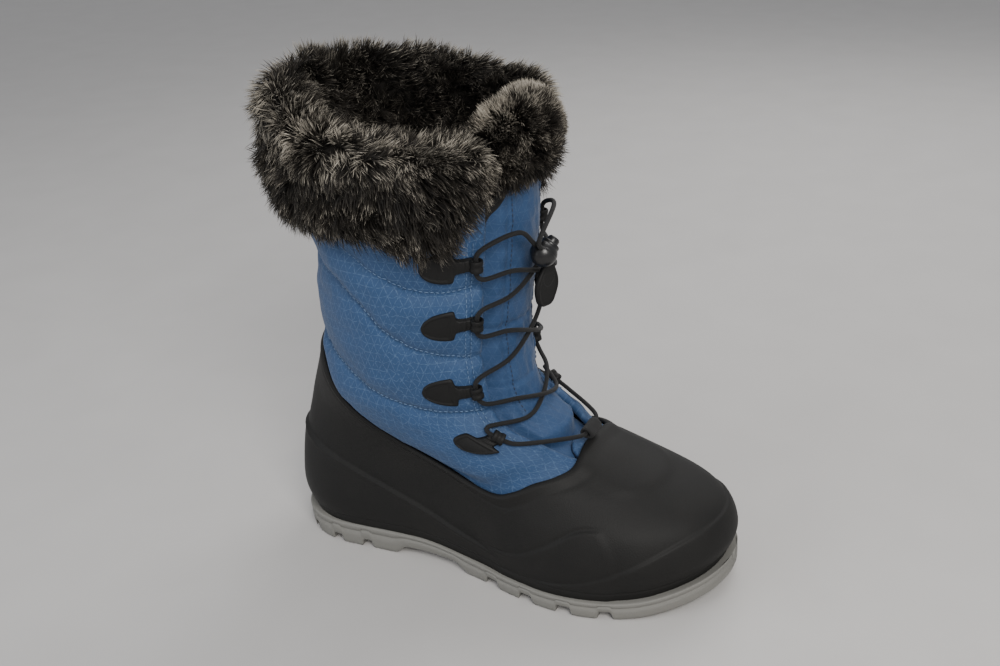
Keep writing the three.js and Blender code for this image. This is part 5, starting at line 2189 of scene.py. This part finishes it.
@dataclass
class Stitching:
    """Rows of stitches along the quilt's seams, the throat's edges and the panel."""

    shop: Workshop
    pitch: float = 2.9
    stitch: float = 1.9
    radius: float = 0.27

    def run(self, data: MeshData, path: Array) -> int:
        """Lays stitches along a path.

        Args:
            data: mesh data to add to.
            path: finely sampled points, on the cloth.

        Returns:
            How many stitches were laid.
        """
        run = np.concatenate([[0], np.cumsum(np.linalg.norm(np.diff(path, axis=0), axis=1))])
        starts = np.arange(1.0, run[-1] - self.stitch, self.pitch)
        for s in starts:
            at = s + self.stitch * np.array([0, 0.25, 0.75, 1.0])
            line = np.stack([np.interp(at, run, path[:, k]) for k in range(3)], -1)
            tube(data, line, self.radius * np.array([0.5, 1, 1, 0.5]), 6)
        return len(starts)

    def build(self) -> None:
        """Makes the light and the tonal stitches."""
        light, count = MeshData(), 0
        for side in Side:
            sign = 1 if side is Side.LATERAL else -1
            for k in range(3):
                f = np.linspace(0.10, math.pi - 0.68, 160)
                theta = sign * f
                ring = Quilting.seam(k, theta)
                for offset in (0.055,):
                    base = Last.point(theta, ring + offset)
                    lift = -0.6 + Quilting.puff(theta, ring + offset, base) + 0.28
                    count += self.run(light, Last.lifted(theta, ring + offset, lift))
            for inset in (0.115, 0.165):
                ring = np.linspace(5.2, 8.9, 200)
                theta = math.pi - sign * (Last.throat(ring) + inset)
                base = Last.point(theta, ring)
                lift = -0.6 + Quilting.puff(theta, ring, base) + 0.3
                over = smooth(0.05, 0.75, ring - Last.shell_edge(theta))
                keep = over > 0.98
                count += self.run(light, Last.lifted(theta[keep], ring[keep], lift[keep]))
        self.shop.piece("seam_stitches", light, [self.shop.finishes.thread], "quilted_nylon")
        tonal = MeshData()
        for side in Side:
            ring = np.linspace(5.8, 9.6, 160)
            f = side.value * 0.50 * Last.throat(ring)
            theta = math.pi + f
            base = Last.point(theta, ring)
            lift = TonguePanel.lift(f, ring, base) + 0.25
            count += self.run(tonal, Last.lifted(theta, ring, lift))
        self.shop.piece("panel_stitches", tonal, [self.shop.finishes.dark_thread], "quilted_nylon")
        LOG.info("%d stitches", count)


# --------------------------------------------------------------------------- camera and room


@dataclass(frozen=True)
class Studio:
    """Camera, floor and light."""

    azimuth: float = 31.2
    elevation: float = 27.5
    roll: float = 3.0
    distance: float = 620.0
    target: tuple[float, float, float] = (140.0, 0.0, 130.0)
    sensor_mm: float = 36.0
    lens_mm: float = 38.16
    aim_slope: tuple[float, float] = (-0.1151, 0.00283)
    shift: tuple[float, float] = (-0.112, 0.006)
    key_watts: float = 17.0
    fill_watts: float = 6.0
    back_watts: float = 8.0
    floor_half: float = 6.0
    floor_drop: float = 0.0004

    def camera(self, place: Placement) -> None:
        """Stands the camera at the object's viewing angle.

        Args:
            place: the drawing's place in the frame.
        """
        a, e, r = (math.radians(v) for v in (self.azimuth, self.elevation, self.roll))
        back = np.array([math.sin(a) * math.cos(e), -math.cos(a) * math.cos(e), math.sin(e)])
        right = np.array([math.cos(a), math.sin(a), 0.0])
        up = np.cross(back, right)
        eye = np.asarray(self.target) + back * self.distance
        look = -back - right * self.aim_slope[0] + up * self.aim_slope[1]
        z = -look / np.linalg.norm(look)
        x = np.cross([0, 0, 1.0], z)
        x /= np.linalg.norm(x)
        y = np.cross(z, x)
        xr = math.cos(r) * x - math.sin(r) * y
        yr = math.sin(r) * x + math.cos(r) * y
        data = bpy.data.cameras.new("camera")
        data.sensor_width = self.sensor_mm
        data.lens = self.lens_mm
        data.shift_x, data.shift_y = self.shift
        data.clip_start, data.clip_end = 0.01, 50.0
        camera = bpy.data.objects.new("camera", data)
        matrix = Matrix.Identity(4)
        for column, axis in enumerate((xr, yr, z)):
            for row in range(3):
                matrix[row][column] = axis[row]
        matrix.translation = Vector(place(eye))
        camera.matrix_world = matrix
        bpy.context.scene.collection.objects.link(camera)
        bpy.context.scene.camera = camera

    @staticmethod
    def light(name: str, where: Sequence[float], power: float, size: float, colour: Sequence[float] = (1, 1, 1)) -> None:
        """Adds a soft area light that faces the boot.

        Args:
            name: its name.
            where: its place in metres.
            power: its power in watts.
            size: its side in metres.
            colour: its colour.
        """
        data = bpy.data.lights.new(name, "AREA")
        data.energy, data.size, data.color = power, size, colour
        lamp = bpy.data.objects.new(name, data)
        lamp.location = where
        lamp.rotation_euler = (Vector((0, 0, 0.12)) - Vector(where)).to_track_quat("-Z", "Y").to_euler()
        bpy.context.scene.collection.objects.link(lamp)

    def build(self) -> None:
        """Makes the floor, the lights and the world."""
        mesh = bpy.data.meshes.new("floor")
        signs = ((-1, -1), (1, -1), (1, 1), (-1, 1))
        corners = [(i * self.floor_half, j * self.floor_half, -self.floor_drop) for i, j in signs]
        mesh.from_pydata(corners, [], [(0, 1, 2, 3)])
        floor = bpy.data.objects.new("floor", mesh)
        bpy.context.scene.collection.objects.link(floor)
        s = Shader("pale_floor")
        colour = s.blend(s.noise(60, 3), (0.47, 0.46, 0.45), (0.52, 0.51, 0.50))
        mesh.materials.append(s.finish(colour, 0.6, None, Specular_IOR_Level=0.25))
        world = bpy.data.worlds.new("room")
        world.use_nodes = True
        sky = world.node_tree.nodes["Background"].inputs
        sky[0].default_value = (0.86, 0.87, 0.9, 1)
        sky[1].default_value = 0.55
        bpy.context.scene.world = world
        self.light("key", (0.75, -0.75, 0.95), self.key_watts, 0.55, (1.0, 0.97, 0.93))
        self.light("fill", (-0.9, -0.9, 0.7), self.fill_watts, 0.9, (0.93, 0.96, 1.0))
        self.light("back", (0.1, 0.9, 1.0), self.back_watts, 0.9, (1.0, 0.98, 0.96))


def main() -> None:
    """Builds the model, piece by piece."""
    logging.basicConfig(level=logging.INFO, format="%(name)s: %(message)s")
    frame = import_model()
    place = Placement()
    studio = Studio()
    studio.camera(place)
    finishes = Finishes()
    shop = Workshop(place, finishes)
    lock = CordLock(shop)
    lock.loose()
    LOG.info("camera and cords")
    lock.end_tab()
    lock.build()
    Outsole(shop).build()
    frame["nodes"]["insole"].data.materials.clear()
    frame["nodes"]["insole"].data.materials.append(finishes.felt)
    Shell(shop).build()
    Shaft(shop).build()
    TonguePanel(shop).build()
    for side in Side:
        for index in range(len(TAB_SPOTS)):
            LaceTab(shop, side, index).build()
    ToeLoop(shop).build()
    Lace(shop, lock).build()
    Stitching(shop).build()
    FurCuff(shop).build()
    TongueFur(shop).build()
    studio.build()
    LOG.info("studio")


if __name__ == "__main__":
    main()
